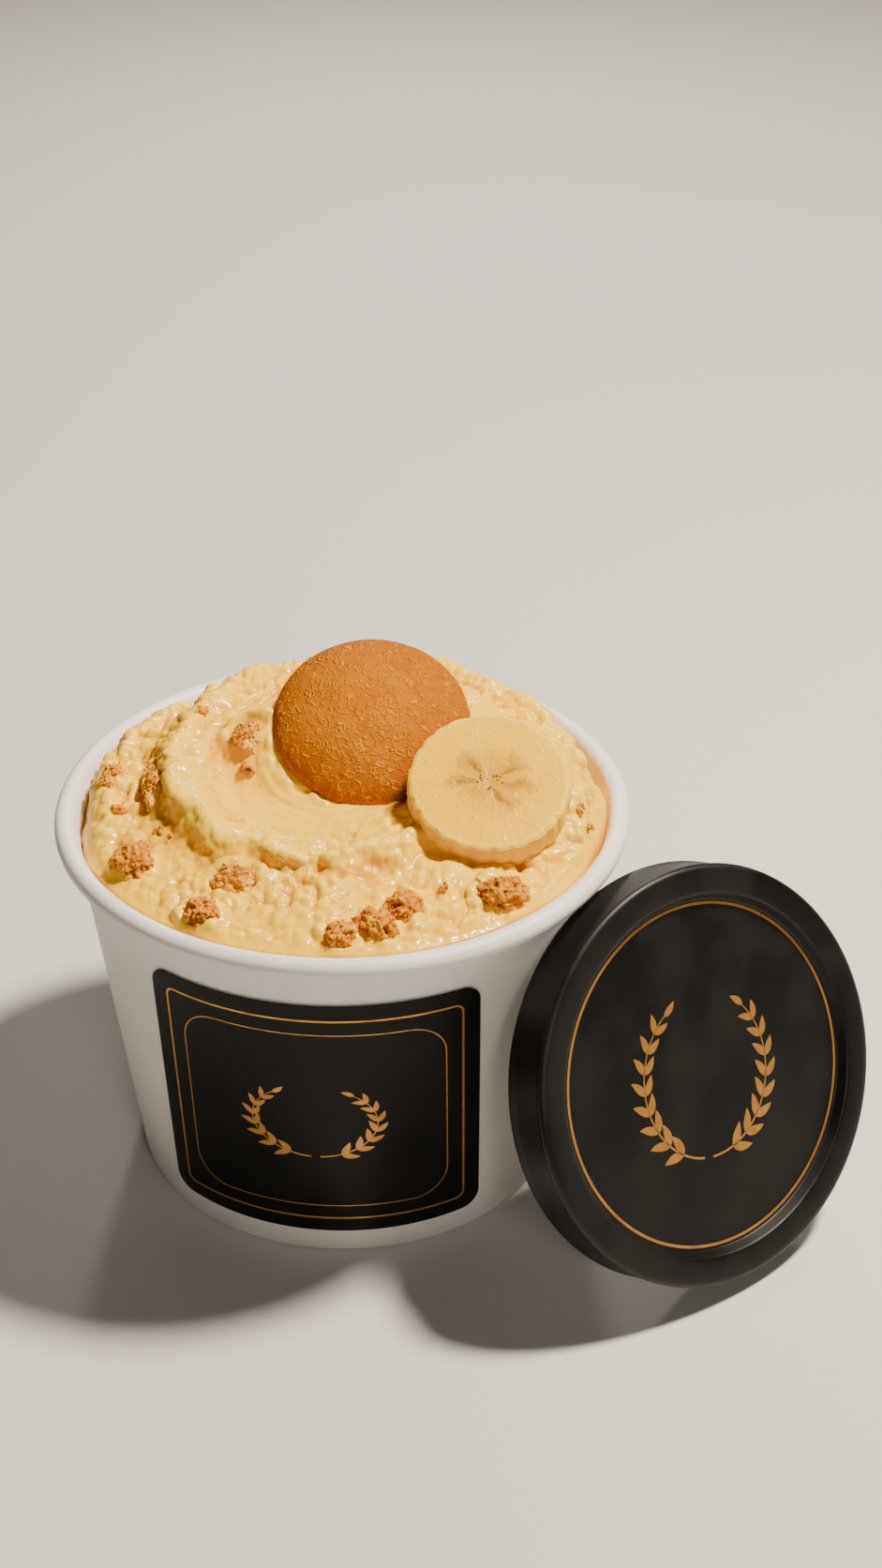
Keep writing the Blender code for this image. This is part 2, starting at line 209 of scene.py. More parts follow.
# %% [markdown]
# ## Camera
#
# It looks down on the tub from the front, a little round to the right, as in the photograph. Its
# place and lens could be found by eye, but they were solved from the ellipses of rim and foot, so
# that every piece can be compared with its picture. The lens is long, which keeps ellipses calm.

# %% Camera
CAMERA_FROM_TUB = Vector((64.0, -444.1, 362.5)) * MM
CAMERA_DOWN = math.radians(31.85)
CAMERA_TURN = math.radians(5.67)
LENS_MM = 60.29

lens = bpy.data.cameras.new("Camera")
lens.sensor_fit = "VERTICAL"
lens.sensor_height = 36
lens.lens = LENS_MM
camera = bpy.data.objects.new("Camera", lens)
camera.location = AXIS + CAMERA_FROM_TUB
camera.rotation_euler = (math.pi / 2 - CAMERA_DOWN, 0, CAMERA_TURN)
bpy.context.scene.collection.objects.link(camera)
bpy.context.scene.camera = camera
print("camera:", round(CAMERA_FROM_TUB.length / MM), "mm from the foot of the tub's axis")

# %% [markdown]
# ## Materials
#
# The node trees are short and share a few groups. They could be joined up by hand in the shader
# editor. Here a small helper adds a node and sets its inputs, which keeps each material readable
# as a list of steps.

# %% Node helpers
def node(tree, kind, inputs=(), **settings):
    """Adds a shader node, sets its properties, then its inputs by name or number."""
    made = tree.nodes.new(kind)
    for name, value in settings.items():
        setattr(made, name, value)
    for key, value in dict(inputs).items():
        if isinstance(value, bpy.types.NodeSocket):
            tree.links.new(value, made.inputs[key])
        else:
            made.inputs[key].default_value = value
    return made


def group(name, inputs, outputs):
    """A new node group with named float, colour or vector sockets."""
    made = bpy.data.node_groups.new(name, "ShaderNodeTree")
    print("group:", name)
    for label, kind, value in inputs:
        socket = made.interface.new_socket(label, in_out="INPUT", socket_type=f"NodeSocket{kind}")
        if value is not None:
            socket.default_value = value
    for label, kind in outputs:
        made.interface.new_socket(label, in_out="OUTPUT", socket_type=f"NodeSocket{kind}")
    return made, made.nodes.new("NodeGroupInput"), made.nodes.new("NodeGroupOutput")


def placed(tree, made, inputs=()):
    return node(tree, "ShaderNodeGroup", inputs, node_tree=made)


# %% [markdown]
# Each finish is one Principled shader, and everything else only feeds it. Mixed colours, sums and
# mapped ranges come up in every tree, so each has a helper that hands back its result, ready to
# go into the next node.

# %% Material helpers
def material(name, **values):
    """A Principled material. Values are its plain inputs, with spaces for underscores."""
    made = bpy.data.materials.new(name)
    print("material:", name)
    made.use_nodes = True
    shader = made.node_tree.nodes["Principled BSDF"]
    for key, value in values.items():
        shader.inputs[key.replace("_", " ")].default_value = value
    return made, made.node_tree, shader


def mixed(tree, factor, first, second):
    """Colour from first, at factor 0, to second, at factor 1."""
    return node(
        tree, "ShaderNodeMix", {0: factor, 6: first, 7: second}, data_type="RGBA"
    ).outputs[2]


def math_node(tree, operation, first, second=0.0, third=0.0):
    return node(
        tree, "ShaderNodeMath", {0: first, 1: second, 2: third}, operation=operation
    ).outputs[0]


def ranged(tree, value, low, high, to_low=0.0, to_high=1.0):
    """Value mapped smoothly from one range to another."""
    return node(
        tree,
        "ShaderNodeMapRange",
        {0: value, 1: low, 2: high, 3: to_low, 4: to_high},
        interpolation_type="SMOOTHSTEP",
    ).outputs[0]


# %% [markdown]
# Real food, card and print never have one flat colour. Every finish here is mottled by the same
# group: a soft noise with some detail shifts its colour a little towards a darker one. A painted
# image could do it too, but a noise has no seams and goes on for ever.

# %% Mottle group
mottle, mottle_in, mottle_out = group(
    "Mottle",
    (
        ("Colour", "Color", (0.8, 0.8, 0.8, 1)),
        ("Dark", "Color", (0.6, 0.6, 0.6, 1)),
        ("Scale", "Float", 100.0),
        ("Amount", "Float", 0.5),
    ),
    (("Colour", "Color"), ("Mask", "Float")),
)
spot = node(mottle, "ShaderNodeTexCoord")
broad = node(
    mottle,
    "ShaderNodeTexNoise",
    {"Vector": spot.outputs["Object"], "Scale": mottle_in.outputs["Scale"], "Detail": 4.0},
)
patches = ranged(mottle, broad.outputs[0], 0.38, 0.66)
amount = math_node(mottle, "MULTIPLY", patches, mottle_in.outputs["Amount"])
tone = mixed(mottle, amount, mottle_in.outputs["Colour"], mottle_in.outputs["Dark"])
mottle.links.new(tone, mottle_out.inputs["Colour"])
mottle.links.new(patches, mottle_out.inputs["Mask"])

# %% [markdown]
# Grain is the finest relief, below what the meshes carry. It is too small to change an outline,
# so a bump is enough: cream, crumb, wafer, paper and lid each place it with their own scale and
# depth.

# %% Grain group
grain, grain_in, grain_out = group(
    "Grain",
    (("Scale", "Float", 1000.0), ("Strength", "Float", 0.3), ("Depth", "Float", 0.0002)),
    (("Normal", "Vector"), ("Height", "Float")),
)
spot = node(grain, "ShaderNodeTexCoord")
fine = node(
    grain,
    "ShaderNodeTexNoise",
    {"Vector": spot.outputs["Object"], "Scale": grain_in.outputs["Scale"], "Detail": 3.0},
)
raised = node(
    grain,
    "ShaderNodeBump",
    {
        "Strength": grain_in.outputs["Strength"],
        "Distance": grain_in.outputs["Depth"],
        "Height": fine.outputs[0],
    },
)
grain.links.new(raised.outputs[0], grain_out.inputs["Normal"])
grain.links.new(fine.outputs[0], grain_out.inputs["Height"])

# %% [markdown]
# Most finishes here take the same three steps: a mottled colour, a roughness that follows the
# mottling, and grain in the normal. A helper for each step leaves every material below with only
# what is its own, and print, card and plastic, which need no more than these three, share one.

# %% Finish helpers
def mottled(tree, colour, dark, scale, amount):
    """The mottle group, between two colours given as red, green and blue."""
    return placed(
        tree,
        mottle,
        {"Colour": (*colour, 1), "Dark": (*dark, 1), "Scale": scale, "Amount": amount},
    )


def roughened(tree, shader, mask, low, high):
    """Roughness from low, where the mask is 0, to high, where it is 1."""
    tree.links.new(ranged(tree, mask, 0.0, 1.0, low, high), shader.inputs["Roughness"])


def grained(tree, shader, scale, strength, depth):
    fine = placed(tree, grain, {"Scale": scale, "Strength": strength, "Depth": depth})
    tree.links.new(fine.outputs["Normal"], shader.inputs["Normal"])


def attribute(tree, name, output="Fac"):
    """Reads what the mesh keeps for each point under this name."""
    return node(tree, "ShaderNodeAttribute", attribute_name=name).outputs[output]


def even_finish(name, mottling, roughness, grains, **values):
    """A material with a mottled colour, a roughness that follows it, and grain."""
    made, tree, shader = material(name, **values)
    base = mottled(tree, *mottling)
    tree.links.new(base.outputs["Colour"], shader.inputs["Base Color"])
    roughened(tree, shader, base.outputs["Mask"], *roughness)
    grained(tree, shader, *grains)
    return made


print("shared groups:", mottle.name, "and", grain.name)

# %% [markdown]
# ## Pudding
#
# Whipped pudding is heaped above the rim and drawn round by a spoon: a high crest winds in from
# the back, down the left and across the front, and rolls over its own outer foot. Sculpting it by
# hand would not come out the same twice, so its height is added up from a few soft shapes. These
# are their sections.

# %% Soft shapes
def bump(offset, width):
    """1 on a line, falling off smoothly on both sides of it."""
    return np.exp(-((offset / width) ** 2))


def ridge(offset, inside, outside):
    """A ridge's section: a long slope on the inner side and a steep one on the outer side."""
    return bump(offset, np.where(offset < 0, inside, outside))


def between(value, start, end, ramp, end_ramp=None):
    """1 from start to end, with a soft ramp inside each end, and 0 outside."""
    return eased(value, start, start + ramp) * (1 - eased(value, end - (end_ramp or ramp), end))


def higher(first, second, blend):
    """The higher of two surfaces, with the valley between them filled in softly."""
    gap = np.clip(0.5 + (second - first) / (2 * blend), 0, 1)
    return first + (second - first) * gap + blend * gap * (1 - gap)


print("ridge, one width off its crest:", round(float(ridge(-1.0, 1.0, 1.0)), 2))

# %% [markdown]
# Under everything lies a plain dish: low at the wall, fuller towards the middle and highest at
# the back, where the spoon left the most. A lathe could turn a round dish, but this one is
# lopsided, so its height is a formula of the place.

# %% Dish
FILL_RADIUS = 53.25 * MM
EDGE_HEIGHT, EDGE_TILT = 78.6 * MM, 0.7 * MM
HOLLOW_HEIGHT, FILL_POWER = 83.5 * MM, 0.8
BACK_RISE, BACK_REACH, BACK_SLANT = 7.0 * MM, 38 * MM, 0.45


def dish(x, y, radius, angle):
    full = np.maximum(0, 1 - (radius / (FILL_RADIUS + 0.2 * MM)) ** 2)
    edge = EDGE_HEIGHT + EDGE_TILT * -np.sin(angle)
    rise = HOLLOW_HEIGHT + BACK_RISE * eased(y - BACK_SLANT * x, 0, BACK_REACH) - edge
    return edge + rise * full ** FILL_POWER


print("dish, from edge to hollow:", round((HOLLOW_HEIGHT - EDGE_HEIGHT) / MM, 1), "mm")

# %% [markdown]
# The crest is a spiral seen from above: its radius shrinks as the angle grows, and it fades at
# both ends. Its inner slope is longer at the front, where the hollow runs out. A lower fold lies
# between it and the wall on the left. A curve with a bevel could draw such a roll too, but it
# would lie on the dish like a hose, where a lift of the same surface grows out of the cream.
# Patterns are read from the flat points, at height 0, so they stay where they are whatever the
# height becomes.

# %% Crest and fold
SWIRL_START, SWIRL_END = math.radians(6), math.radians(346)
SWIRL_FADE_IN, SWIRL_FADE_OUT = 0.6, 0.5
SWIRL_START_RADIUS, SWIRL_END_RADIUS = 45.5 * MM, 23.0 * MM
SWIRL_TIGHTENING = 0.79
SWIRL_HEIGHT, SWIRL_TILT = 89.5 * MM, 3.0 * MM
SWIRL_WAVE, SWIRL_TAIL_DROP = 0.9 * MM, 1.0 * MM
SWIRL_HIGH_SIDE = math.radians(112)
SWIRL_FRONT = math.radians(215), math.radians(265)
SWIRL_TAIL = math.radians(285), math.radians(335)
SWIRL_INSIDE, SWIRL_FRONT_INSIDE, SWIRL_OUTSIDE = 5.4 * MM, 7.5 * MM, 4.5 * MM

FOLD_START, FOLD_END = math.radians(130), math.radians(232)
FOLD_RADIUS, FOLD_WIDTH = 47.0 * MM, 3.2 * MM
FOLD_HEIGHT, FOLD_SINK, FOLD_WAVE = 84.8 * MM, 2.4 * MM, 1.2 * MM


def swirl(x, y):
    """Distance outside the crest, how strongly the swirl holds there, and the angle."""
    radius = np.hypot(x, y)
    angle = np.arctan2(y, x) % math.tau
    along = np.clip((angle - SWIRL_START) / (SWIRL_END - SWIRL_START), 0, 1)
    crest = SWIRL_START_RADIUS - (SWIRL_START_RADIUS - SWIRL_END_RADIUS) * along ** SWIRL_TIGHTENING
    hold = between(angle, SWIRL_START, SWIRL_END, SWIRL_FADE_IN, SWIRL_FADE_OUT)
    return radius - crest, hold, angle


def with_crest(height, flat, offset, hold, angle):
    peak = SWIRL_HEIGHT + SWIRL_TILT * np.cos(angle - SWIRL_HIGH_SIDE)
    peak += SWIRL_WAVE * swell(flat, 8 * MM, 3) - SWIRL_TAIL_DROP * eased(angle, *SWIRL_TAIL)
    inside = SWIRL_INSIDE + (SWIRL_FRONT_INSIDE - SWIRL_INSIDE) * eased(angle, *SWIRL_FRONT)
    return height + np.maximum(0, peak - height) * ridge(offset, inside, SWIRL_OUTSIDE) * hold


def with_fold(height, flat, radius, angle):
    top = FOLD_HEIGHT - FOLD_SINK * (angle - FOLD_START) + FOLD_WAVE * swell(flat, 6 * MM, 5)
    shape = bump(radius - FOLD_RADIUS, FOLD_WIDTH) * between(angle, FOLD_START, FOLD_END, 0.4)
    return height + np.maximum(0, top - height) * shape


print("crest radius:", [round(r / MM, 1) for r in (SWIRL_START_RADIUS, SWIRL_END_RADIUS)], "mm")

# %% [markdown]
# Wafer and slice lean back on the pudding, so it has to rise to meet them. They could just be
# sunk into it, but then a gap or a straight cut would show. Instead each lies on a bed: a plane
# with the topping's own lean that falls away past its edge, with a ragged lip of cream drawn up
# round it, as where something has been pressed in.

# %% Beds for wafer and slice
LEAN, HEADING = math.radians(26), math.radians(7)
WAFER_RADIUS = 20.1 * MM
WAFER_PLACE = Vector((4.8, 10.3, 92.5)) * MM
WAFER_BED = 0.3 * MM
WAFER_LIP, WAFER_LIP_RISE, WAFER_LIP_BLEND = 0.9 * MM, 0.75, 1.2 * MM
SLICE_RADIUS = 16.0 * MM
SLICE = 7.5 * MM
SLICE_PLACE = Vector((30.6, -12.1, 94.1)) * MM
BACK_HEIGHT = 92.8 * MM
LIP_AT, LIP_WIDTH = 0.5 * MM, 1.0 * MM

# place, how far below it the pudding lies, radius, how the heap falls away past the edge (curve
# and slope), the height of its lip, and how softly it blends in
BEDS = (
    (WAFER_PLACE, WAFER_BED, WAFER_RADIUS, 22, 0.27, 1.1 * MM, 3.5 * MM),
    (SLICE_PLACE, SLICE - 0.3 * MM, SLICE_RADIUS, 30, 0.32, 0.8 * MM, 3.0 * MM),
)


def bed(x, y, place, below, radius, curve, slope):
    """Height of the heap under a leaning round topping, and the distance past its edge."""
    out = Vector((
        math.sin(HEADING) * math.sin(LEAN),
        -math.cos(HEADING) * math.sin(LEAN),
        math.cos(LEAN),
    ))
    foot = place - out * below
    rise = -(out.x * (x - foot.x) + out.y * (y - foot.y)) / out.z
    past = np.sqrt((x - foot.x) ** 2 + (y - foot.y) ** 2 + rise ** 2) - radius
    reach = np.maximum(0, past)
    return np.minimum(foot.z + rise, BACK_HEIGHT) - curve * reach ** 2 - slope * reach, past


def with_beds(height, x, y, flat):
    for place, below, size, curve, slope, lip, blend in BEDS:
        heap, past = bed(x, y, place, below, size, curve, slope)
        heap += lip * bump(past - LIP_AT, LIP_WIDTH) * (0.35 + swell(flat, 2.0 * MM, 9))
        height = higher(height, heap, blend)
    return height


def under_wafer(height, x, y):
    """Keeps the cream from climbing past the wafer's lower face and edge."""
    rim, _ = bed(x, y, WAFER_PLACE, WAFER_BED, WAFER_RADIUS, 0, -WAFER_LIP_RISE)
    return -higher(-height, -rim - WAFER_LIP, WAFER_LIP_BLEND)


print("beds:", len(BEDS), "leaning back by", round(math.degrees(LEAN)), "degrees")

# %% [markdown]
# Small heaps break up the broad form. They could be sculpted on, but a list of soft round lifts
# is easy to change one by one while looking at a render.

# %% Heaps
# x, y, radius and height of rounded heaps, in mm
HEAPS = (
    (24.0, -28.5, 6.0, 1.9),
    (-10.0, -35.0, 2.4, 1.6),
    (6.0, -40.0, 7.0, 1.0),
    (-36.0, -18.0, 5.0, 1.0),
    (41.0, 15.0, 6.5, 2.6),
    (45.5, 3.0, 6.0, 4.0),
    (50.0, -7.0, 5.0, 2.6),
    (33.0, -30.0, 4.0, 0.9),
    (-2.0, -46.0, 5.0, 0.8),
    (8.0, -14.5, 6.5, 1.4),
)


def with_heaps(height, x, y):
    for heap_x, heap_y, size, lift in HEAPS:
        near = ((x / MM - heap_x) ** 2 + (y / MM - heap_y) ** 2) / size ** 2
        height = height + lift * MM * np.exp(-near)
    return height


print("heaps:", len(HEAPS))

# %% [markdown]
# Each crumb has pushed up a collar of cream round itself. So the places of the crumbs are listed
# here, where the pudding first needs them, and the crumbs take theirs from the same list later.

# %% Crumb places and collars
# x, y, length and width in mm, turn in degrees, height of the middle above the pudding in mm
CRUMBS = (
    (-36.9, -28.9, 8.8, 7.4, 70, 1.2),
    (-16.4, -34.3, 8.0, 6.8, 20, 0.8),
    (-20.8, -44.0, 7.4, 6.8, 100, 0.8),
    (5.9, -48.5, 6.4, 5.6, 40, 0.6),
    (12.1, -45.5, 8.0, 7.0, 150, 0.9),
    (16.6, -39.0, 7.8, 6.4, 60, 0.7),
    (35.0, -32.8, 10.0, 7.8, 20, 1.0),
    (-36.6, -5.8, 12.5, 5.8, 97, 0.8),
    (-20.0, 7.2, 9.2, 6.0, 100, -0.4),
    (-46.6, -0.8, 8.2, 5.2, 78, 0.4),
)
# the collar's height, then how far out it stands as a share of the crumb, and its width in mm
COLLAR, COLLAR_AT, COLLAR_WIDTH = 1.3 * MM, 0.27, 1.2


def with_collars(height, x, y, flat):
    for crumb_x, crumb_y, length, width, turn, above in CRUMBS:
        away = np.hypot(x / MM - crumb_x, y / MM - crumb_y)
        collar = bump(away - COLLAR_AT * (length + width), COLLAR_WIDTH)
        height = height + COLLAR * collar * (0.6 + 0.7 * swell(flat, 2.5 * MM, 11))
    return height


print("crumbs:", len(CRUMBS))

# %% [markdown]
# In two places the pudding stands back from the wall and leaves a pocket. A clean cut would look
# machined, so the radius where the cream starts to drop wavers with a noise.

# %% Pockets
# middle and half width in degrees, radius where the drop starts and its depth in mm
POCKETS = ((34, 36, 44.2, 7.5), (191, 17, 49.0, 4.5))
POCKET_RAMP, POCKET_WAVER = 4.5 * MM, 1.2 * MM


def with_pockets(height, flat, radius, angle):
    for middle, spread, start, depth in POCKETS:
        window = np.exp(-((apart(angle, middle) / math.radians(spread)) ** 4))
        ragged = start * MM + POCKET_WAVER * swell(flat, 6 * MM, 13)
        height = height - depth * MM * window * eased(radius, ragged, ragged + POCKET_RAMP)
    return height


print("pockets:", len(POCKETS))

# %% [markdown]
# The steps are taken in order, because each one sees the height that the last one left. At the
# end the cream is held under a gentle cone at the brim, so that no heap stands up as a flat face
# against the wall.

# %% Pudding height
BRIM_HEIGHT, BRIM_SLOPE, BRIM_BLEND = 79.6 * MM, 1.5, 1.2 * MM


def pudding_height(x, y):
    """Height of the pudding's broad form over points of the tub."""
    flat = points_of(x, y)
    radius = np.hypot(x, y)
    offset, hold, angle = swirl(x, y)
    height = dish(x, y, radius, angle)
    height = with_beds(height, x, y, flat)
    height = with_crest(height, flat, offset, hold, angle)
    height = with_fold(height, flat, radius, angle)
    height = with_heaps(height, x, y)
    height = under_wafer(height, x, y)
    height = with_collars(height, x, y, flat)
    height = with_pockets(height, flat, radius, angle)
    brim = BRIM_HEIGHT + BRIM_SLOPE * (FILL_RADIUS - radius)
    return -higher(-height, -brim, BRIM_BLEND)


def height_at(x, y):
    """The pudding's height over one point."""
    return float(pudding_height(np.array([x]), np.array([y]))[0])


print("pudding in the hollow:", round(height_at(-15 * MM, -5 * MM) / MM, 1), "mm high")

# %% [markdown]
# The surface is a grid of points: a square squeezed into a disc, which keeps its cells nearly
# equal, so the curds are as fine in the middle as at the rim. Wafer and slice use such grids too,
# and each is closed by rings of points that hang from its border.

# %% Grids
def disc_grid(cells, radius):
    """Points of a square grid squeezed into a disc, row by row."""
    line = np.linspace(-1, 1, cells + 1)
    across, up = (values.ravel() for values in np.meshgrid(line, line))
    wide = np.abs(across) > np.abs(up)
    with np.errstate(divide="ignore", invalid="ignore"):
        turn = np.where(wide, math.pi / 4 * up / across, math.pi / 2 - math.pi / 4 * across / up)
    turn = np.nan_to_num(turn)
    reach = np.where(wide, across, up) * radius
    return reach * np.cos(turn), reach * np.sin(turn)


def grid_faces(cells):
    row = cells + 1
    low = (np.arange(cells)[:, None] * row + np.arange(cells)).ravel()
    return np.stack([low, low + 1, low + row + 1, low + row], axis=1)


def border_of(cells):
    """The grid's border points in order, once round."""
    row, last = cells + 1, cells * (cells + 2)
    return [
        *range(cells),
        *(cells + row * k for k in range(cells)),
        *(last - k for k in range(cells)),
        *(row * (cells - k) for k in range(cells)),
    ]


def with_rings(points, faces, cells, rings):
    """Hangs rings of points under the grid's border and closes the last one."""
    top, start = np.array(border_of(cells)), len(points)
    all_points, all_faces = [points], [tuple(f) for f in faces.tolist()]
    for ring in rings:
        low = start + np.arange(len(top))
        around = (top, low, np.roll(low, -1), np.roll(top, -1))
        all_faces += list(zip(*(corner.tolist() for corner in around)))
        all_points.append(ring)
        top, start = low, start + len(top)
    all_faces.append(tuple(reversed(top.tolist())))
    return np.concatenate(all_points), all_faces


def normals_of(points, faces):
    """Smooth normals at the points of a quad mesh."""
    corners = [points[faces[:, k]] for k in range(4)]
    flat = np.cross(corners[2] - corners[0], corners[3] - corners[1])
    total = np.zeros_like(points)
    for corner in range(4):
        np.add.at(total, faces[:, corner], flat)
    return total / np.maximum(np.linalg.norm(total, axis=1, keepdims=True), 1e-12)


print("border of a grid of 2 by 2 cells:", border_of(2))

# %% [markdown]
# A height can't roll over, and the crest does. So its upper flank is pushed outwards over the
# crease below it, most on the left and at the front. The points are first moved about a little,
# which makes the spiral wander as a hand does.

# %% Rolled form
SURFACE_CELLS = 306
WANDER, WANDER_SIZE = 1.5 * MM, 11 * MM
SWIRL_OVERHANG, OVERHANG_AT, OVERHANG_WIDTH = 1.7 * MM, 1.2 * MM, 2.2 * MM
OVERHANG_START, OVERHANG_END = math.radians(95), math.radians(300)


def rolled_form(x, y):
    """Points of the pudding's form, with the swirl's offset, hold and angle at each."""
    radius = np.hypot(x, y)
    flat = points_of(x, y)
    inward = eased(radius, FILL_RADIUS, FILL_RADIUS - 4 * MM)
    moved_x, moved_y = (
        line + swell(flat, WANDER_SIZE, seed) * WANDER * inward for line, seed in ((x, 21), (y, 22))
    )
    offset, hold, angle = swirl(moved_x, moved_y)
    side = between(angle, OVERHANG_START, OVERHANG_END, 0.5, 0.8)
    push = SWIRL_OVERHANG * side * bump(offset - OVERHANG_AT, OVERHANG_WIDTH)
    push *= 0.75 + 0.6 * swell(flat, 7 * MM, 23)
    widened = 1 + push / np.maximum(radius, MM)
    height = pudding_height(moved_x, moved_y)
    return points_of(x * widened, y * widened, height), offset, hold, angle


print("surface cells across:", SURFACE_CELLS, "overhang:", round(SWIRL_OVERHANG / MM, 1), "mm")

# %% [markdown]
# A bump in the material would be quicker than relief in the mesh, but lumps of this size show in
# the outline and cast shadows. They are laid on along the surface's own normal, because they have
# to stand out sideways on the crest's flank. Three sizes of curds make the lumps: strong at the
# front and outside, faint in the hollow that the spoon wiped smooth. Ribs run along the crest,
# and soft strokes follow the spoon through the hollow.

# %% Fine relief
# height in mm, size and seed
CURDS = ((1.70, 4.6 * MM, 41), (1.75, 2.5 * MM, 42), (0.50, 1.5 * MM, 43))
CURD_LEVEL = 1.2
# the share of the curds that is wiped off in the hollow, and pressed flat on the crest
WIPED_OFF, PRESSED = 0.78, 0.4
# heights in mm: along the crest, in the hollow, and all over
RIBS, WRINKLES = 0.85, 0.05
WAVES, STROKES = 0.30, 0.16
PIMPLES = 0.10
WIPED_START, WIPED_END = -5 * MM, -10 * MM


def cream_relief(points, flat, radius, offset, hold, angle, wiped):
    """How far curds, ribs and strokes lift the surface, in mm."""
    rough = (1 - WIPED_OFF * wiped) * (0.45 + 0.55 * eased(swell(points, 12 * MM, 31), -0.5, 0.6))
    rough *= 1 - PRESSED * ridge(offset + 1.5 * MM, 4 * MM, 3 * MM) * hold
    shifts = np.stack([swell(points, 3 * MM, 35 + axis) for axis in range(3)], axis=1)
    bent = points + 0.4 * MM * shifts
    lumps = sum(lift * curds(bent, size, seed) for lift, size, seed in CURDS)
    inner = eased(radius, FILL_RADIUS - 0.6 * MM, FILL_RADIUS - 3.2 * MM)
    relief = rough * (lumps - CURD_LEVEL) * inner
    band = ridge(offset + 2 * MM, 7 * MM, 4 * MM) * hold
    bowed = (offset + 3 * MM * swell(flat, 16 * MM, 24)) / MM
    ribs = points_of(angle * 2.6, bowed / 2.0)
    wrinkles = points_of(angle * 17, offset / MM / 4.5, 1.0)
    strokes = points_of(angle * 2, offset / MM / 1.1, 2.0)
    relief += RIBS * band * swell(ribs, 1.0, 51) + WRINKLES * band * swell(wrinkles, 1.0, 52)
    relief += WAVES * wiped * swell(points, 6 * MM, 62) + STROKES * wiped * swell(strokes, 1.0, 53)
    return relief + PIMPLES * swell(points, 1.2 * MM, 61) * (1 - 0.7 * wiped)


print("curd sizes:", [round(size / MM, 1) for _, size, _ in CURDS], "mm")

# %% [markdown]
# The cream's colour is painted with shade and light: deeper and warmer in its creases, as painted
# shade for the light that passes through more of it there, and paler on its tops and in the wiped
# hollow, as painted light. The material can't see its own creases, so each point keeps a number for
# how far it lies below its surroundings, measured over a narrow and a wide neighbourhood.

# %% Creases
# how far the creases are painted into shade, and how much the wiped hollow is painted lighter
CREASE_SHADE_LEVEL, CREASE_SHADE_SHARE, WIPED_PAINTED_LIGHT = 0.45, 0.20, 0.30
# spread in cells, and the depth that counts as one
FINE_CREASE, BROAD_CREASE = (4, 0.35 * MM), (9, 1.2 * MM)


def softened(values, spread):
    """The grid's values, each averaged with those round it, over a number of cells."""
    side = SURFACE_CELLS + 1
    weights = np.exp(-0.5 * (np.arange(-3 * spread, 3 * spread + 1) / spread) ** 2)
    weights /= weights.sum()
    padded = np.pad(values.reshape(side, side), 3 * spread, mode="edge")
    for axis in (0, 1):
        padded = np.apply_along_axis(np.convolve, axis, padded, weights, "valid")
    return padded.ravel()


def crease_shade_of(height, radius, wiped):
    """From 0, where the cream stands out, to 1, in its creases: how far its colour is painted into
    shade.
    """
    fine, broad = (
        (softened(height, spread) - height) / depth for spread, depth in (FINE_CREASE, BROAD_CREASE)
    )
    off_wall = eased(radius, FILL_RADIUS - 3 * MM, FILL_RADIUS - 9 * MM)
    broad *= (1 - wiped) * (0.3 + 0.7 * off_wall)
    level = CREASE_SHADE_LEVEL + CREASE_SHADE_SHARE * fine + CREASE_SHADE_SHARE * broad - WIPED_PAINTED_LIGHT * wiped
    return np.clip(level, 0, 1)


print("creases are measured over", FINE_CREASE[0], "and", BROAD_CREASE[0], "cells")

# %% [markdown]
# Now the surface is put together, kept clear of the wall, and closed below the brim, because the
# export and the tub around it need a closed body.

# %% Pudding surface
WALL_CLEARANCE = 0.65 * MM
BODY_BOTTOM, BODY_TAPER = 66 * MM, 0.985

x, y = disc_grid(SURFACE_CELLS, FILL_RADIUS)
radius, faces = np.hypot(x, y), grid_faces(SURFACE_CELLS)
points, offset, hold, angle = rolled_form(x, y)
wiped = eased(offset, WIPED_START, WIPED_END) * hold
relief = cream_relief(points, points_of(x, y), radius, offset, hold, angle, wiped)
points = points + normals_of(points, faces) * (relief * MM)[:, None]
room = np.minimum(FILL_RADIUS, wall_radius(points[:, 2]) - WALL_CLEARANCE)
points[:, :2] /= np.maximum(1, np.hypot(points[:, 0], points[:, 1]) / room)[:, None]
crease_shade = crease_shade_of(points[:, 2], radius, wiped)
print("pudding surface:", len(points), "points, top", round(points[:, 2].max() / MM, 1), "mm")
print("sunken:", [round(float(v), 2) for v in np.percentile(crease_shade, (5, 25, 50, 75, 95))])

floor_ring = points[border_of(SURFACE_CELLS)] * (BODY_TAPER, BODY_TAPER, 0) + (0, 0, BODY_BOTTOM)
body_points, body_faces = with_rings(points, faces, SURFACE_CELLS, [floor_ring])
cream_mesh = mesh_of("pudding_cream", body_points, body_faces)
keep(cream_mesh, "crease_shade", np.concatenate([crease_shade, np.ones(len(body_points) - len(points))]))
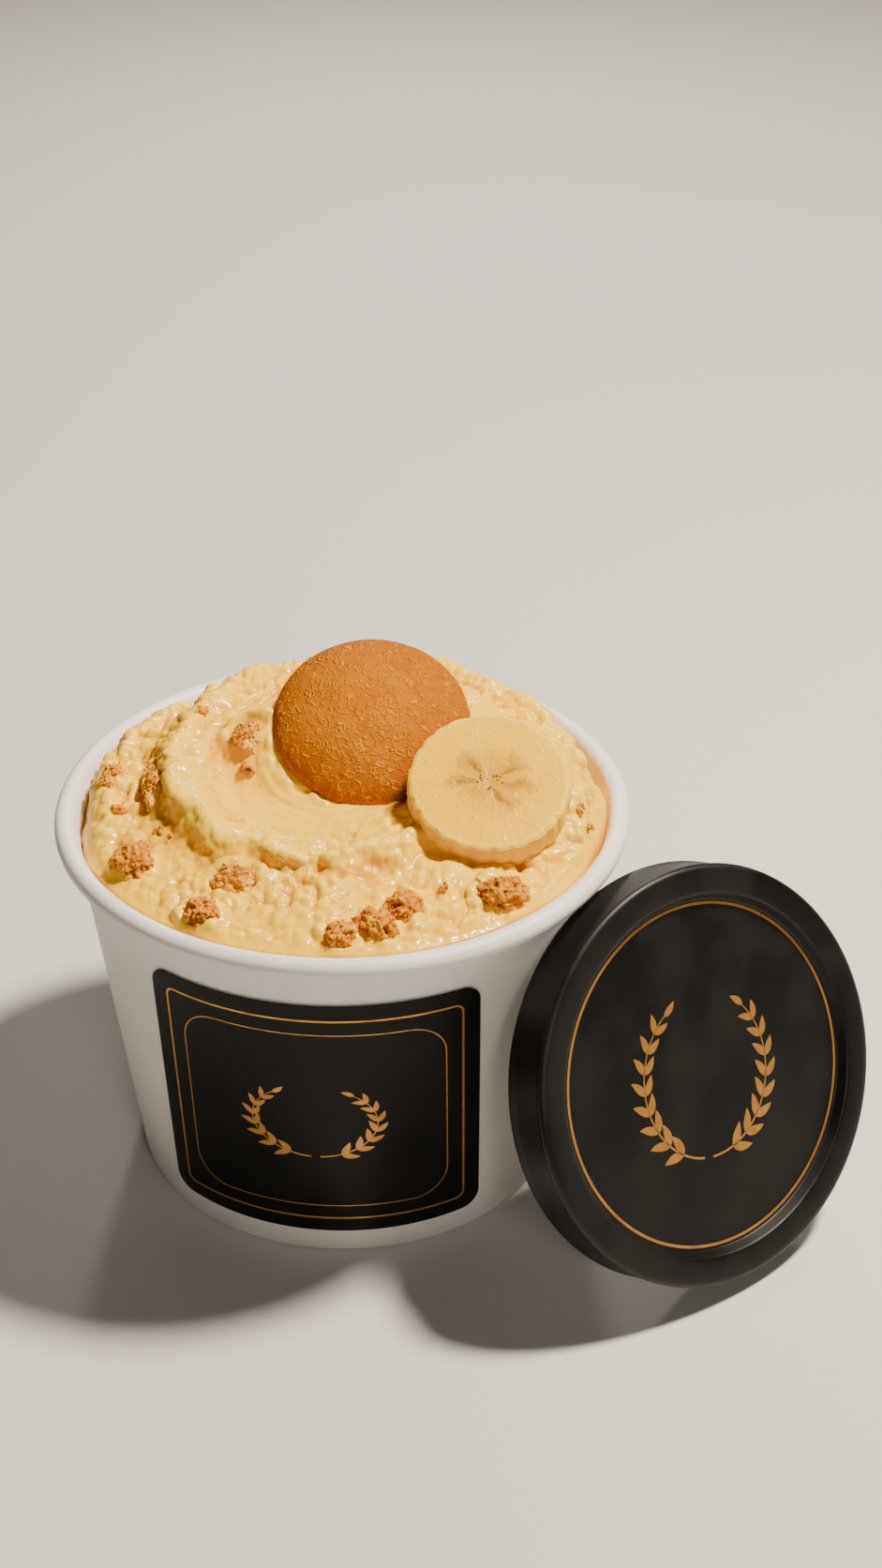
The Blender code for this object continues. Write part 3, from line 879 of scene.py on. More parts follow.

# %% [markdown]
# Pudding is moist and lets a little light in: some subsurface scattering, and a thin clear coat
# for the wet highlights. A low roughness alone would shine like plastic, and the coat keeps the
# highlights small above a soft base. The creases' number paints the colour both ways: painted shade
# in the creases and painted light on the tops. The few brown specks of crumb dust come from
# scattered points, kept only where a broad noise is high.

# %% Pudding material and piece
cream_look, tree, shader = material(
    "Cream",
    Subsurface_Weight=0.2,
    Subsurface_Radius=(1.0, 0.75, 0.3),
    Subsurface_Scale=0.6 * MM,
    Specular_IOR_Level=0.25,
    Coat_Weight=0.30,
    Coat_Roughness=0.09,
    IOR=1.42,
)
base = mottled(tree, (0.95, 0.545, 0.008), (0.94, 0.515, 0.004), 130.0, 0.5)
place_of = node(tree, "ShaderNodeTexCoord").outputs["Object"]
specks = node(
    tree, "ShaderNodeTexVoronoi", {"Vector": place_of, "Scale": 420.0, "Randomness": 1.0}
)
sparse = node(tree, "ShaderNodeTexNoise", {"Vector": place_of, "Scale": 90.0, "Detail": 1.0})
dot = ranged(tree, specks.outputs["Distance"], 0.13, 0.06)
dot = math_node(tree, "MULTIPLY", dot, ranged(tree, sparse.outputs[0], 0.56, 0.62))
# painted shade deepens the colour in the creases, and painted light makes the tops paler
crease_shade_mask = attribute(tree, "crease_shade")
crease_shaded = mixed(tree, ranged(tree, crease_shade_mask, 0.42, 1.0), base.outputs["Colour"], (0.70, 0.325, 0.001, 1))
tops_lit = mixed(tree, ranged(tree, crease_shade_mask, 0.42, 0.0), crease_shaded, (0.97, 0.60, 0.025, 1))
colour = mixed(tree, dot, tops_lit, (0.45, 0.16, 0.02, 1))
tree.links.new(colour, shader.inputs["Base Color"])
roughened(tree, shader, base.outputs["Mask"], 0.30, 0.44)
grained(tree, shader, 900.0, 0.25, 0.15 * MM)
piece("pudding_cream", cream_mesh, cream_look, "pudding", "pudding")

# %% [markdown]
# ## Wafer
#
# A vanilla wafer is a baked dome covered in fine raised squiggles. A squashed ball would do from
# afar, but its lower face would be round too. Here a disc grid is bent into a quarter turn, which
# gives the dome, and a few rings close it with a flat foot. The mesh also carries the dome's slow
# unevenness and a few small pits.

# %% Wafer mesh
WAFER_CELLS = 160
WAFER_DOME = 7.5 * MM
# heights in mm: slow waves, a fine roughness, pits, and how much the whole is drawn in for them
WAFER_WAVES, WAFER_ROUGH, WAFER_PITS, WAFER_SHRINK = 0.14, 0.05, 0.12, 0.10
# how far each ring below the rim is drawn in, and how low it lies in mm
WAFER_FOOT = ((1.0, 0.5), (0.992, 1.2), (0.965, 1.75), (0.92, 2.0))

x, y = disc_grid(WAFER_CELLS, 1.0)
reach = np.hypot(x, y)
bend = reach * math.pi / 2
spread = np.where(reach > 0, np.sin(bend) / np.maximum(reach, 1e-9), math.pi / 2) * WAFER_RADIUS
points = points_of(x * spread, y * spread, WAFER_DOME * np.cos(bend))
faces = grid_faces(WAFER_CELLS)
relief = WAFER_WAVES * swell(points, 5 * MM, 101) + WAFER_ROUGH * swell(points, 1.3 * MM, 102)
relief -= WAFER_PITS * eased(swell(points, 1.1 * MM, 103), 0.55, 0.9)
points = points + normals_of(points, faces) * ((relief - WAFER_SHRINK) * MM)[:, None]
loop = points[border_of(WAFER_CELLS)]
rings = [loop * (drawn_in, drawn_in, 0) - (0, 0, drop * MM) for drawn_in, drop in WAFER_FOOT]
wafer_points, wafer_faces = with_rings(points, faces, WAFER_CELLS, rings)
wafer_mesh = mesh_of("wafer_crust", wafer_points, wafer_faces)
print("wafer points:", len(wafer_points))

# %% [markdown]
# The squiggles are a few tenths of a millimetre wide, too fine for the mesh, so they are a group
# whose mask the material raises with a bump. Each line is a ring at a set distance round
# scattered points, bent by a noise. Three such sets, each kept only in patches, give short curls
# that never repeat.

# %% Squiggle group
WARP_SIZE = 1.6 * MM
CURL_RADII = (0.40, 0.30, 0.46)

squiggle, squiggle_in, squiggle_out = group(
    "Squiggle",
    (("Scale", "Float", 560.0), ("Width", "Float", 0.05)),
    (("Mask", "Float"),),
)


def vector_node(tree, operation, first, second=None, scale=None):
    """A sum, a difference or a scaled vector."""
    inputs = {0: first}
    if second is not None:
        inputs[1] = second
    if scale is not None:
        inputs["Scale"] = scale
    return node(tree, "ShaderNodeVectorMath", inputs, operation=operation).outputs[0]


spot = node(squiggle, "ShaderNodeTexCoord").outputs["Object"]
warp = node(squiggle, "ShaderNodeTexNoise", {"Vector": spot, "Scale": 420.0, "Detail": 0.0})
warp = vector_node(squiggle, "SUBTRACT", warp.outputs["Color"], (0.5, 0.5, 0.5))
spot = vector_node(squiggle, "ADD", spot, vector_node(squiggle, "SCALE", warp, scale=WARP_SIZE))
scale = squiggle_in.outputs["Scale"]
total = None
for layer, curl_radius in enumerate(CURL_RADII):
    moved = vector_node(squiggle, "ADD", spot, (0.1 * layer, 0.07 * layer, 0.03))
    scattered = node(
        squiggle, "ShaderNodeTexVoronoi", {"Vector": moved, "Scale": scale, "Randomness": 0.9}
    ).outputs["Distance"]
    off = math_node(squiggle, "SUBTRACT", scattered, curl_radius)
    off = math_node(squiggle, "ABSOLUTE", off)
    line = ranged(squiggle, off, squiggle_in.outputs["Width"], 0.0)
    patch_scale = math_node(squiggle, "MULTIPLY", scale, 0.9)
    held = node(
        squiggle, "ShaderNodeTexNoise", {"Vector": moved, "Scale": patch_scale, "Detail": 0.0}
    )
    line = math_node(squiggle, "MULTIPLY", line, ranged(squiggle, held.outputs[0], 0.44, 0.50))
    total = line if total is None else math_node(squiggle, "MAXIMUM", total, line)
squiggle.links.new(total, squiggle_out.inputs["Mask"])
print("squiggle sets:", len(CURL_RADII))

# %% [markdown]
# The crust is golden in the middle and browner towards the rim, where the dough is thinnest. It
# could be painted, but it depends only on the distance from the middle, so that distance drives
# it, made uneven by a noise. The squiggles are a little paler than the crust between them. A dry
# crust hardly shines, so its mirror reflection is weak.

# %% Wafer material and piece
wafer_look, tree, shader = material(
    "Baked crust",
    Subsurface_Weight=0.06,
    Subsurface_Radius=(1.0, 0.5, 0.2),
    Subsurface_Scale=0.8 * MM,
    Specular_IOR_Level=0.03,
)
place_of = attribute(tree, "own_place", "Vector")
away = node(tree, "ShaderNodeVectorMath", {0: place_of}, operation="LENGTH").outputs["Value"]
patchy = node(tree, "ShaderNodeTexNoise", {"Vector": place_of, "Scale": 70.0, "Detail": 2.0})
away = math_node(tree, "MULTIPLY_ADD", patchy.outputs[0], 7 * MM, away)
browned = ranged(tree, away, 0.62 * WAFER_RADIUS, 1.24 * WAFER_RADIUS)
base = mottled(tree, (0.46, 0.142, 0.0002), (0.38, 0.106, 0.0001), 160.0, 0.7)
toasted = mixed(tree, browned, base.outputs["Colour"], (0.33, 0.092, 0.0005, 1))
line = placed(tree, squiggle, {"Scale": 520.0, "Width": 0.10}).outputs["Mask"]
paler = mixed(tree, math_node(tree, "MULTIPLY", line, 0.5), toasted, (0.80, 0.29, 0.001, 1))
tree.links.new(paler, shader.inputs["Base Color"])
roughened(tree, shader, line, 0.66, 0.5)
fine = placed(tree, grain, {"Scale": 2600.0, "Strength": 0.5, "Depth": 0.06 * MM})
raised = node(
    tree,
    "ShaderNodeBump",
    {"Strength": 1.0, "Distance": 0.22 * MM, "Height": line, "Normal": fine.outputs["Normal"]},
)
tree.links.new(raised.outputs[0], shader.inputs["Normal"])
wafer_pose = standing(WAFER_PLACE, HEADING, LEAN)
piece("wafer_crust", wafer_mesh, wafer_look, "wafer", "wafer", at=wafer_pose)

# %% [markdown]
# ## Banana slice
#
# A round cut straight across a peeled banana. Its side keeps the faint flutes of the peel, and
# its face is moist, with a golden star in the middle where the flesh is clear, and tiny seeds.
# The star could be painted on a plain disc, but the clear flesh also sinks a little, so the face
# is a grid again and keeps a number for how clear it is at each point.

# %% Clear wedges
# direction in degrees, half width in degrees, reach and strength of the clear wedges
WEDGES = (
    (126, 22, 0.62, 1.0), (84, 14, 0.66, 0.45), (38, 18, 0.68, 0.9), (-14, 17, 0.74, 0.85),
    (-60, 20, 0.60, 1.0), (-112, 10, 0.50, 0.4), (178, 18, 0.68, 0.95), (150, 9, 0.45, 0.4),
    (206, 12, 0.56, 0.6),
)
CORE_CLEARNESS, CORE_REACH = 0.50, 0.46


def round_points(angle, size, z=0.0):
    """Points on a circle round the axis, for a noise that has to join up with itself."""
    return points_of(np.cos(angle) * size, np.sin(angle) * size, z)


def wedges(angle, reach):
    """1 in the clear wedges that run out from the core, and 0 in the flesh between them."""
    around = points_of(np.cos(angle) * reach * 4, np.sin(angle) * reach * 4)
    bent = angle + 0.16 * swell(around, 0.8, 93)
    start = eased(reach, 0.05, 0.20)
    total = np.zeros_like(angle)
    for middle, half_width, end, strength in WEDGES:
        narrow = math.radians(half_width) * (0.75 + 0.55 * reach)
        ragged_end = end * (1 + 0.15 * swell(around, 0.3, 94))
        fade = start * (1 - eased(reach, 0.45 * end, ragged_end))
        total = np.maximum(total, strength * bump(apart(bent, middle), narrow) * fade)
    return np.maximum(total, CORE_CLEARNESS * bump(reach, CORE_REACH))


print("clear wedges:", len(WEDGES))

# %% [markdown]
# A cylinder with a bevel would be quicker, but straight and too even. Here the face's edge is
# rounded over, and the side bulges a little between the two cuts. Flutes are a sine folded up at
# each zero, as the peel's ribs press into the flesh.

# %% Slice mesh
SLICE_CELLS = 220
SLICE_LEVELS = 15
SLICE_INSET, FLUTE_DEPTH, FLUTES = 0.020, 0.018, 12
# heights in mm: sunken clear flesh, the core's dimple and the fibres, then waves, ripples and
# torn flecks, then how low the whole face lies and how far its edge is rounded down
CLEAR_SINK, DIMPLE, FIBRES = 0.09, 0.25, 0.02
FACE_WAVES, RIPPLES, FLECKS = 0.10, 0.03, 0.07
FACE_DROP, EDGE_DROP = 0.05, 0.45
# shares of the radius: the side's bulge, its waves and the tuck at the lower cut
BULGE, SIDE_WAVES, TUCK = 0.016, 0.006, 0.02


def flute(angle):
    """How far the side stands in or out round the slice, from about -1 to 1."""
    around = round_points(angle, 1.0)
    scallop = np.abs(np.sin(FLUTES * angle + 1.2 * swell(around, 0.5, 91)))
    return scallop - 0.6 + 0.5 * swell(around, 0.6, 92)


x, y = disc_grid(SLICE_CELLS, 1.0)
angle, reach = np.arctan2(y, x), np.hypot(x, y)
size = SLICE_RADIUS * (1 - SLICE_INSET + FLUTE_DEPTH * flute(angle) * reach ** 6)
flat = points_of(x, y)
clear = wedges(angle, reach)
fibres = points_of(angle * 14, reach * 2.2)
height = -CLEAR_SINK * clear - DIMPLE * bump(reach, 0.1) + FIBRES * swell(fibres, 1.0, 95)
height += FACE_WAVES * swell(flat, 0.35, 96) + RIPPLES * swell(flat, 0.05, 97)
height += FLECKS * eased(swell(flat, 0.05, 99), 0.62, 0.85)
height -= EDGE_DROP * eased(reach, 0.94, 1.0) ** 2
points = points_of(x * size, y * size, (height - FACE_DROP) * MM)
loop = points[border_of(SLICE_CELLS)]
turn = np.arctan2(loop[:, 1], loop[:, 0])
rings = []
for level in range(1, SLICE_LEVELS + 1):
    part = level / SLICE_LEVELS
    bulge = 1 + BULGE * math.sin(math.pi * part)
    bulge += SIDE_WAVES * swell(round_points(turn, 3, part * 1.2), 0.5, 98)
    bulge -= TUCK * max(0.0, part - 0.9) * 10
    low = loop[:, 2] - (SLICE - 0.6 * MM) * part
    rings.append(points_of(loop[:, 0] * bulge, loop[:, 1] * bulge, low))
slice_points, slice_faces = with_rings(points, grid_faces(SLICE_CELLS), SLICE_CELLS, rings)
slice_mesh = mesh_of("banana_round", slice_points, slice_faces)
keep(slice_mesh, "clear", np.concatenate([clear, np.zeros(len(slice_points) - len(clear))]))
print("slice points:", len(slice_points), "clearest", round(float(clear.max()), 2))

# %% [markdown]
# The flesh is pale at the rim and warmer inside. The wedges turn golden and then amber because
# the light goes deep there, and fine pale fibres run out from the core. Their pattern is a noise
# read by angle and distance, which draws it out into rays.

# %% Slice material and piece
slice_look, tree, shader = material(
    "Banana flesh",
    Subsurface_Weight=0.12,
    Subsurface_Radius=(1.0, 0.7, 0.25),
    Subsurface_Scale=0.8 * MM,
    Specular_IOR_Level=0.14,
    Coat_Weight=0.06,
    Coat_Roughness=0.12,
    IOR=1.42,
)
split = node(tree, "ShaderNodeSeparateXYZ", {0: attribute(tree, "own_place", "Vector")})
across, up = split.outputs["X"], split.outputs["Y"]
level_of = node(tree, "ShaderNodeCombineXYZ", {"X": across, "Y": up}).outputs[0]
away = node(tree, "ShaderNodeVectorMath", {0: level_of}, operation="LENGTH").outputs["Value"]
away = math_node(tree, "DIVIDE", away, SLICE_RADIUS)
rays = math_node(tree, "MULTIPLY", math_node(tree, "ARCTAN2", up, across), 9.0)
ray_at = node(tree, "ShaderNodeCombineXYZ", {"X": rays, "Y": away}).outputs[0]
streak = node(tree, "ShaderNodeTexNoise", {"Vector": ray_at, "Scale": 2.2, "Detail": 3.0})
base = mottled(tree, (0.88, 0.492, 0.0002), (0.86, 0.430, 0.0001), 220.0, 0.7)
clear_of = attribute(tree, "clear")
golden = (0.62, 0.308, 0.0001, 1)
glow = mixed(tree, ranged(tree, clear_of, 0.0, 0.45), base.outputs["Colour"], golden)
amber = mixed(tree, ranged(tree, clear_of, 0.45, 1.0), glow, (0.36, 0.155, 0.0001, 1))
fibre = ranged(tree, streak.outputs[0], 0.58, 0.70, 0.0, 0.8)
fibre = math_node(tree, "MULTIPLY", fibre, ranged(tree, away, 0.62, 0.2))
streaked = mixed(tree, fibre, amber, (0.96, 0.66, 0.14, 1))
rim_pale = mixed(tree, ranged(tree, away, 0.86, 0.97), streaked, (0.88, 0.55, 0.03, 1))
tree.links.new(rim_pale, shader.inputs["Base Color"])
roughened(tree, shader, base.outputs["Mask"], 0.36, 0.50)
grained(tree, shader, 1800.0, 0.3, 0.1 * MM)
slice_pose = standing(SLICE_PLACE, HEADING, LEAN)
piece("banana_round", slice_mesh, slice_look, "banana", "banana_slice", at=slice_pose)

# %% [markdown]
# The seeds are dark specks in groups round the core, each well under a millimetre long. They
# could be painted spots, but real seeds stand out of the flesh a little. So they are small
# drawn-out balls half sunk in the face, joined in one mesh.

# %% Seeds
# angle in degrees, distance from the core in mm, length in mm
SEEDS = (
    (38, 1.9, 0.42), (52, 1.5, 0.34), (24, 2.3, 0.30),
    (155, 1.9, 0.42), (170, 1.5, 0.36), (140, 2.2, 0.32), (186, 2.3, 0.42),
    (262, 1.8, 0.50), (278, 1.4, 0.36), (292, 2.2, 0.32),
    (350, 2.5, 0.34), (8, 1.6, 0.30),
)
SEED_SHAPE = (1.4, 0.8, 0.7)
SEED_LIFT = 0.02 * MM


def mesh_from(form, name):
    """Turns a finished bmesh into a mesh and frees it."""
    mesh = bpy.data.meshes.new(name)
    form.to_mesh(mesh)
    form.free()
    return mesh


form = bmesh.new()
for turn_degrees, distance, length in SEEDS:
    turn = math.radians(turn_degrees)
    place = Vector((math.cos(turn), math.sin(turn), 0)) * distance * MM + Vector((0, 0, SEED_LIFT))
    stretched = Matrix.Diagonal((*(part * length * MM for part in SEED_SHAPE), 1))
    shape = Matrix.Translation(place) @ Matrix.Rotation(turn, 4, "Z") @ stretched
    bmesh.ops.create_icosphere(form, subdivisions=2, radius=0.5, matrix=shape)
seed_look, tree, shader = material("Seed", Roughness=0.4)
base = mottled(tree, (0.16, 0.05, 0.015), (0.05, 0.015, 0.006), 3000.0, 1.0)
tree.links.new(base.outputs["Colour"], shader.inputs["Base Color"])
piece("banana_seeds", mesh_from(form, "banana_seeds"), seed_look, "banana", at=slice_pose)

# %% [markdown]
# ## Crumbs
#
# Broken wafer is full of holes and grains. Each crumb starts as the same knocked ball that its
# solid has, so that it fills the same space. Its surface is then pitted and covered with curds of
# dry crumb, and small grains are stuck on, because a broken edge is never smooth. A stone made of
# noise alone would lack those sharp little grains.

# %% Knocked ball
KNOCK_DEPTH, BALL_FLATNESS = 0.28, 0.85


def knocked_ball(length, width, seed, detail):
    """The points and faces of a ball whose surface is knocked in and out, in metres."""
    form = bmesh.new()
    bmesh.ops.create_icosphere(form, subdivisions=detail, radius=0.5)
    for point in form.verts:
        way = point.co.normalized()
        knock = noise.noise(way * 1.3 + Vector((seed, 0, 0)))
        knock += 0.5 * noise.noise(way * 3.1 + Vector((0, seed, 0)))
        size = (1 + KNOCK_DEPTH * knock) * MM
        x, y, z = point.co
        point.co = Vector((x * length, y * width, z * BALL_FLATNESS * width)) * size
    points = np.array([point.co[:] for point in form.verts])
    faces = [tuple(v.index for v in face.verts) for face in form.faces]
    form.free()
    return points, faces


print("knocked ball, at its coarsest:", len(knocked_ball(1, 0.8, 1, 2)[0]), "points")

# %% [markdown]
# The grains' sizes and turns step on by fractions that never line up, which looks as uneven as
# chance and comes out the same each time. Each point keeps how deep it lies, which the material
# turns into painted shade in the holes and painted light on the tips and grains.

# %% Crumb mesh
# heights in mm: lumps, smaller lumps and specks, pits, and how much the whole is drawn in for them
LUMPS, SMALL_LUMPS, SPECKS = 0.40, 0.40, 0.13
PITS, DRAWN_IN = 0.55, 0.30
GRAIN_LEAST, GRAIN_SPREAD, GRAIN_LIFT = 0.35, 0.6, 0.1 * MM


def uneven(number, step):
    """A number from 0 to 1 that jumps about as the whole number grows."""
    return (number * step) % 1


def crumb_mesh(name, length, width, seed, grains, detail=5):
    points, faces = knocked_ball(length, width, seed, detail)
    out = points / np.linalg.norm(points, axis=1, keepdims=True)
    where = points + seed * 0.05
    pits = eased(swell(where, 1.3 * MM, 101), 0.2, 0.65)
    rough = LUMPS * curds(where, 1.5 * MM, 102) + SMALL_LUMPS * curds(where, 0.8 * MM, 103)
    rough += SPECKS * swell(where, 0.4 * MM, 104) - PITS * pits - DRAWN_IN
    points = points + out * (rough * MM)[:, None]
    # how deep each point lies, for painted shade in the holes and painted light on the tips
    depth = np.clip(0.45 - rough, 0, 1)
    tops = np.argsort(cell_number(np.round(points / (0.01 * MM)), seed + 5))[:grains]
    for number, index in enumerate(tops):
        size = (GRAIN_LEAST + GRAIN_SPREAD * uneven(number, 0.618) ** 2) * MM
        ball, ball_faces = knocked_ball(1, 0.8, seed + 3 * number, 2)
        turn = np.array(Matrix.Rotation(number * 2.4, 3, out[index].tolist()))
        ball = ball / MM * size @ turn.T + points[index] + out[index] * GRAIN_LIFT
        start = len(points)
        points = np.concatenate([points, ball])
        # the stuck-on grains get uneven depths, so their painted shade and light vary from grain to
        # grain
        ball_depth = np.full(len(ball), 0.15 + 0.3 * uneven(number, 0.37))
        depth = np.concatenate([depth, ball_depth])
        faces += [tuple(start + v for v in face) for face in ball_faces]
    mesh = mesh_of(name, points, faces)
    keep(mesh, "depth", depth)
    return mesh


print("uneven steps:", [round(uneven(number, 0.618), 2) for number in range(5)])

# %% [markdown]
# The holes are painted darker, as painted shade, and the grains' tips paler, as painted light.
# Where a crumb lies in the pudding, cream has crept up over it. A second object for that film would
# show as a shell, so the film is a mask from the crumb's own height and a soft noise, and thins out
# raggedly towards the top.

# %% Crumb material
FILM_RAGGED = -5 * MM


def crumb_look(name, film_start, film_end):
    made, tree, shader = material(
        name,
        Subsurface_Weight=0.08,
        Subsurface_Radius=(1.0, 0.5, 0.2),
        Subsurface_Scale=0.6 * MM,
        Specular_IOR_Level=0.25,
    )
    base = mottled(tree, (0.66, 0.245, 0.002), (0.50, 0.160, 0.001), 420.0, 0.8)
    depth = attribute(tree, "depth")
    # painted shade in the holes, and painted light on the tips
    pit_shade = ranged(tree, depth, 0.35, 1.0)
    crumb = mixed(tree, pit_shade, base.outputs["Colour"], (0.22, 0.055, 0.003, 1))
    tip_light = ranged(tree, depth, 0.38, 0.0, 0.0, 0.75)
    tip_lit = mixed(tree, tip_light, crumb, (0.95, 0.46, 0.006, 1))
    place_of = attribute(tree, "own_place", "Vector")
    height = node(tree, "ShaderNodeSeparateXYZ", {0: place_of}).outputs["Z"]
    torn = node(tree, "ShaderNodeTexNoise", {"Vector": place_of, "Scale": 520.0, "Detail": 2.0})
    ragged = math_node(tree, "MULTIPLY_ADD", torn.outputs[0], FILM_RAGGED, height)
    film = ranged(tree, ragged, film_end, film_start)
    coated = mixed(tree, math_node(tree, "MULTIPLY", film, 0.8), tip_lit, (0.94, 0.52, 0.03, 1))
    tree.links.new(coated, shader.inputs["Base Color"])
    roughened(tree, shader, film, 0.85, 0.35)
    grained(tree, shader, 2400.0, 0.8, 0.2 * MM)
    return made


bare_crumb = crumb_look("Dry crumb", -3.6 * MM, -2.6 * MM)
coated_crumb = crumb_look("Coated crumb", -2.6 * MM, 0.2 * MM)

# %% [markdown]
# Each crumb is set down at the pudding's own height, with its long side turned as the list says.
# The ones that lie in creases or half under the cream get the coated finish.

# %% Crumb pieces
COATED = (2, 8, 9, 10)
GRAINS_PER_MM = 22

for number, (x_mm, y_mm, length, width, turn_degrees, above) in enumerate(CRUMBS, 1):
    level = height_at(x_mm * MM, y_mm * MM) + above * MM
    place = AXIS + Vector((x_mm * MM, y_mm * MM, level))
    pose = Matrix.Translation(place) @ Matrix.Rotation(math.radians(turn_degrees), 4, "Z")
    look = coated_crumb if number in COATED else bare_crumb
    mesh = crumb_mesh(f"wafer_crumb_{number}", length, width, number, int(GRAINS_PER_MM * length))
    piece(f"wafer_crumb_{number}", mesh, look, "crumb", f"crumb_{number}", at=pose)

# %% [markdown]
# The smallest bits are made the same way with less detail, joined in one mesh, and pressed into
# the surface. Particles could scatter many of them by chance, but here only a few show, so each
# has its own place.

# %% Bits
# x, y and size in mm
BITS = (
    (-43.3, -11.9, 3.0), (-33.2, -19.6, 3.2), (-30.6, -21.6, 2.6), (-19.1, -0.2, 3.6),
    (48.1, -8.4, 3.0), (49.5, -11.1, 2.8), (-30.6, 13.6, 2.8), (23.8, -33.1, 2.6),
)
BIT_LIFT, BIT_TURN = 0.4 * MM, math.radians(40)
FIRST_BIT_SEED = 20

form = bmesh.new()
for number, (x_mm, y_mm, size) in enumerate(BITS):
    mesh = crumb_mesh("bit", size, 0.8 * size, FIRST_BIT_SEED + number, 6, detail=4)
    place = Vector((x_mm * MM, y_mm * MM, height_at(x_mm * MM, y_mm * MM) + BIT_LIFT))
    mesh.transform(Matrix.Translation(place) @ Matrix.Rotation(BIT_TURN * number, 4, "Z"))
    form.from_mesh(mesh)
    bpy.data.meshes.remove(mesh)
bit_look = crumb_look("Bit crumb", 0.0, 0.001 * MM)
piece("crumb_bits", mesh_from(form, "crumb_bits"), bit_look, "crumb")

# %% [markdown]
# ## Tub
#
# The tub is card with a thin coating: a tapered wall, lapped at a seam on the back, rolled over
# into a bead at the rim and folded in at the foot. A lathe is the natural tool for it, so it is
# turned from its section, with many more sides than the solid has.

# %% Turning
def turned_mesh(name, section, sides, shape=None):
    """A closed ring turned from a section that runs down its outer side and up its inner side."""
    radius, height = np.repeat(np.array(section)[None], sides, axis=0).transpose(2, 0, 1)
    turn = np.linspace(0, math.tau, sides, endpoint=False)[:, None]
    if shape is not None:
        radius, height = shape(turn, radius, height)
    points = np.stack([radius * np.cos(turn), radius * np.sin(turn), height], axis=2)
    count = len(section)
    faces = []
    for side in range(sides):
        here, there = side * count, (side + 1) % sides * count
        for k in range(count):
            after = (k + 1) % count
            faces.append((here + k, here + after, there + after, there + k))
    print(f"{name}: {count} points in the section, {sides} sides")
    return mesh_of(name, points.reshape(-1, 3), faces)


def arc(middle, radius, start, end, steps):
    """Points on an arc in a section, angles in degrees."""
    for step in range(steps + 1):
        angle = math.radians(start + (end - start) * step / steps)
        yield (middle[0] + radius * math.cos(angle), middle[1] + radius * math.sin(angle))


# %% [markdown]
# The lap is a small step in the wall's radius, sharp on one side and faded on the other, where
# the card lies under. The rolled bead wavers by a tenth of a millimetre, as paper does: a perfect
# circle would look like plastic.

# %% Tub mesh
TUB_SIDES = 288
CARD = 0.9 * MM
SEAM, SEAM_LAP = math.radians(100), math.radians(8)
SEAM_STEP, SEAM_FADE = 0.28 * MM, 0.6
SEAM_TOP, BEAD_START = 76.4 * MM, 76 * MM
BEAD_IN, BEAD_DOWN = 0.06 * MM, 0.15 * MM
UNDER_BEAD = 76.6 * MM
# halfway through the card, at the foot and at the rim
CARD_MIDDLE = (43.9 * MM, 53.4 * MM)


def with_seam(turn, radius, height):
    past = (turn - SEAM) % math.tau
    lap = np.where(past < SEAM_LAP, 1 - SEAM_FADE * past / SEAM_LAP, 0) * SEAM_STEP
    outer = (radius > np.interp(height, [0, TUB_HEIGHT], CARD_MIDDLE)) & (height < SEAM_TOP)
    waver = 0.10 * MM * np.sin(3 * turn + 1) + 0.05 * MM * np.sin(7 * turn)
    in_bead = height > BEAD_START
    new_radius = radius + np.where(outer, lap, 0) - np.where(in_bead, BEAD_IN, 0)
    return new_radius, height + np.where(in_bead, waver, 0) - np.where(in_bead, BEAD_DOWN, 0)


def wall_point(height, depth=0.0):
    return (wall_radius(height) - depth, height)


wall_section = [
    *arc((RIM_RADIUS - RIM_BEAD, TUB_HEIGHT - RIM_BEAD), RIM_BEAD, 160, -148, 22),
    wall_point(UNDER_BEAD),
    *(wall_point(level * MM) for level in (76.3, 72, 60, 48, 36, 24, 12, 4, 0.7, 0.4)),
    (FOOT_RADIUS - 0.3 * MM, 0),
    (FOOT_RADIUS - 1.4 * MM, 0),
    (FOOT_RADIUS - 1.7 * MM, 0.4 * MM),
    wall_point(5.2 * MM, 1.7 * MM),
    (wall_radius(5.2 * MM) - CARD, 5.3 * MM),
    wall_point(40 * MM, CARD),
    wall_point(UNDER_BEAD, CARD),
]
tub_mesh = turned_mesh("tub_card", wall_section, TUB_SIDES, with_seam)

# %% [markdown]
# The coating gives a soft sheen. Card is never quite even: the mottling is faint and broad, and a
# very fine grain runs through it. The tub's floor is a flat disc that only shows from below, so
# it keeps its solid and takes the same finish.

# %% Tub material and piece
card_look = even_finish(
    "Coated card",
    ((0.80, 0.765, 0.72), (0.74, 0.70, 0.65), 60.0, 0.6),
    (0.42, 0.55),
    (1400.0, 0.25, 0.06 * MM),
    Coat_Weight=0.08,
    Coat_Roughness=0.35,
)
piece("tub_card", tub_mesh, card_look, "paper", "cup_wall", crisp=True)

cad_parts["cup_base"].data.materials.clear()
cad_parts["cup_base"].data.materials.append(card_look)

# %% [markdown]
# ## Label
#
# A black paper label follows the wall. It is drawn flat, across and up, as a label is printed,
# and one function wraps it round the cone. A modifier could press a flat sheet on too, but this
# way everything printed on the label can be wrapped by the same function.

# %% Label sheet
LABEL_WIDTH, LABEL_BOTTOM, LABEL_TOP = 68 * MM, 6.3 * MM, 68 * MM
LABEL_CORNER = 4 * MM
LABEL_LIFT, LABEL_THICK = 0.3 * MM, 0.25 * MM
LABEL_MIDDLE, LABEL_HEIGHT = (LABEL_BOTTOM + LABEL_TOP) / 2, LABEL_TOP - LABEL_BOTTOM
COLUMNS, ROWS = 90, 8


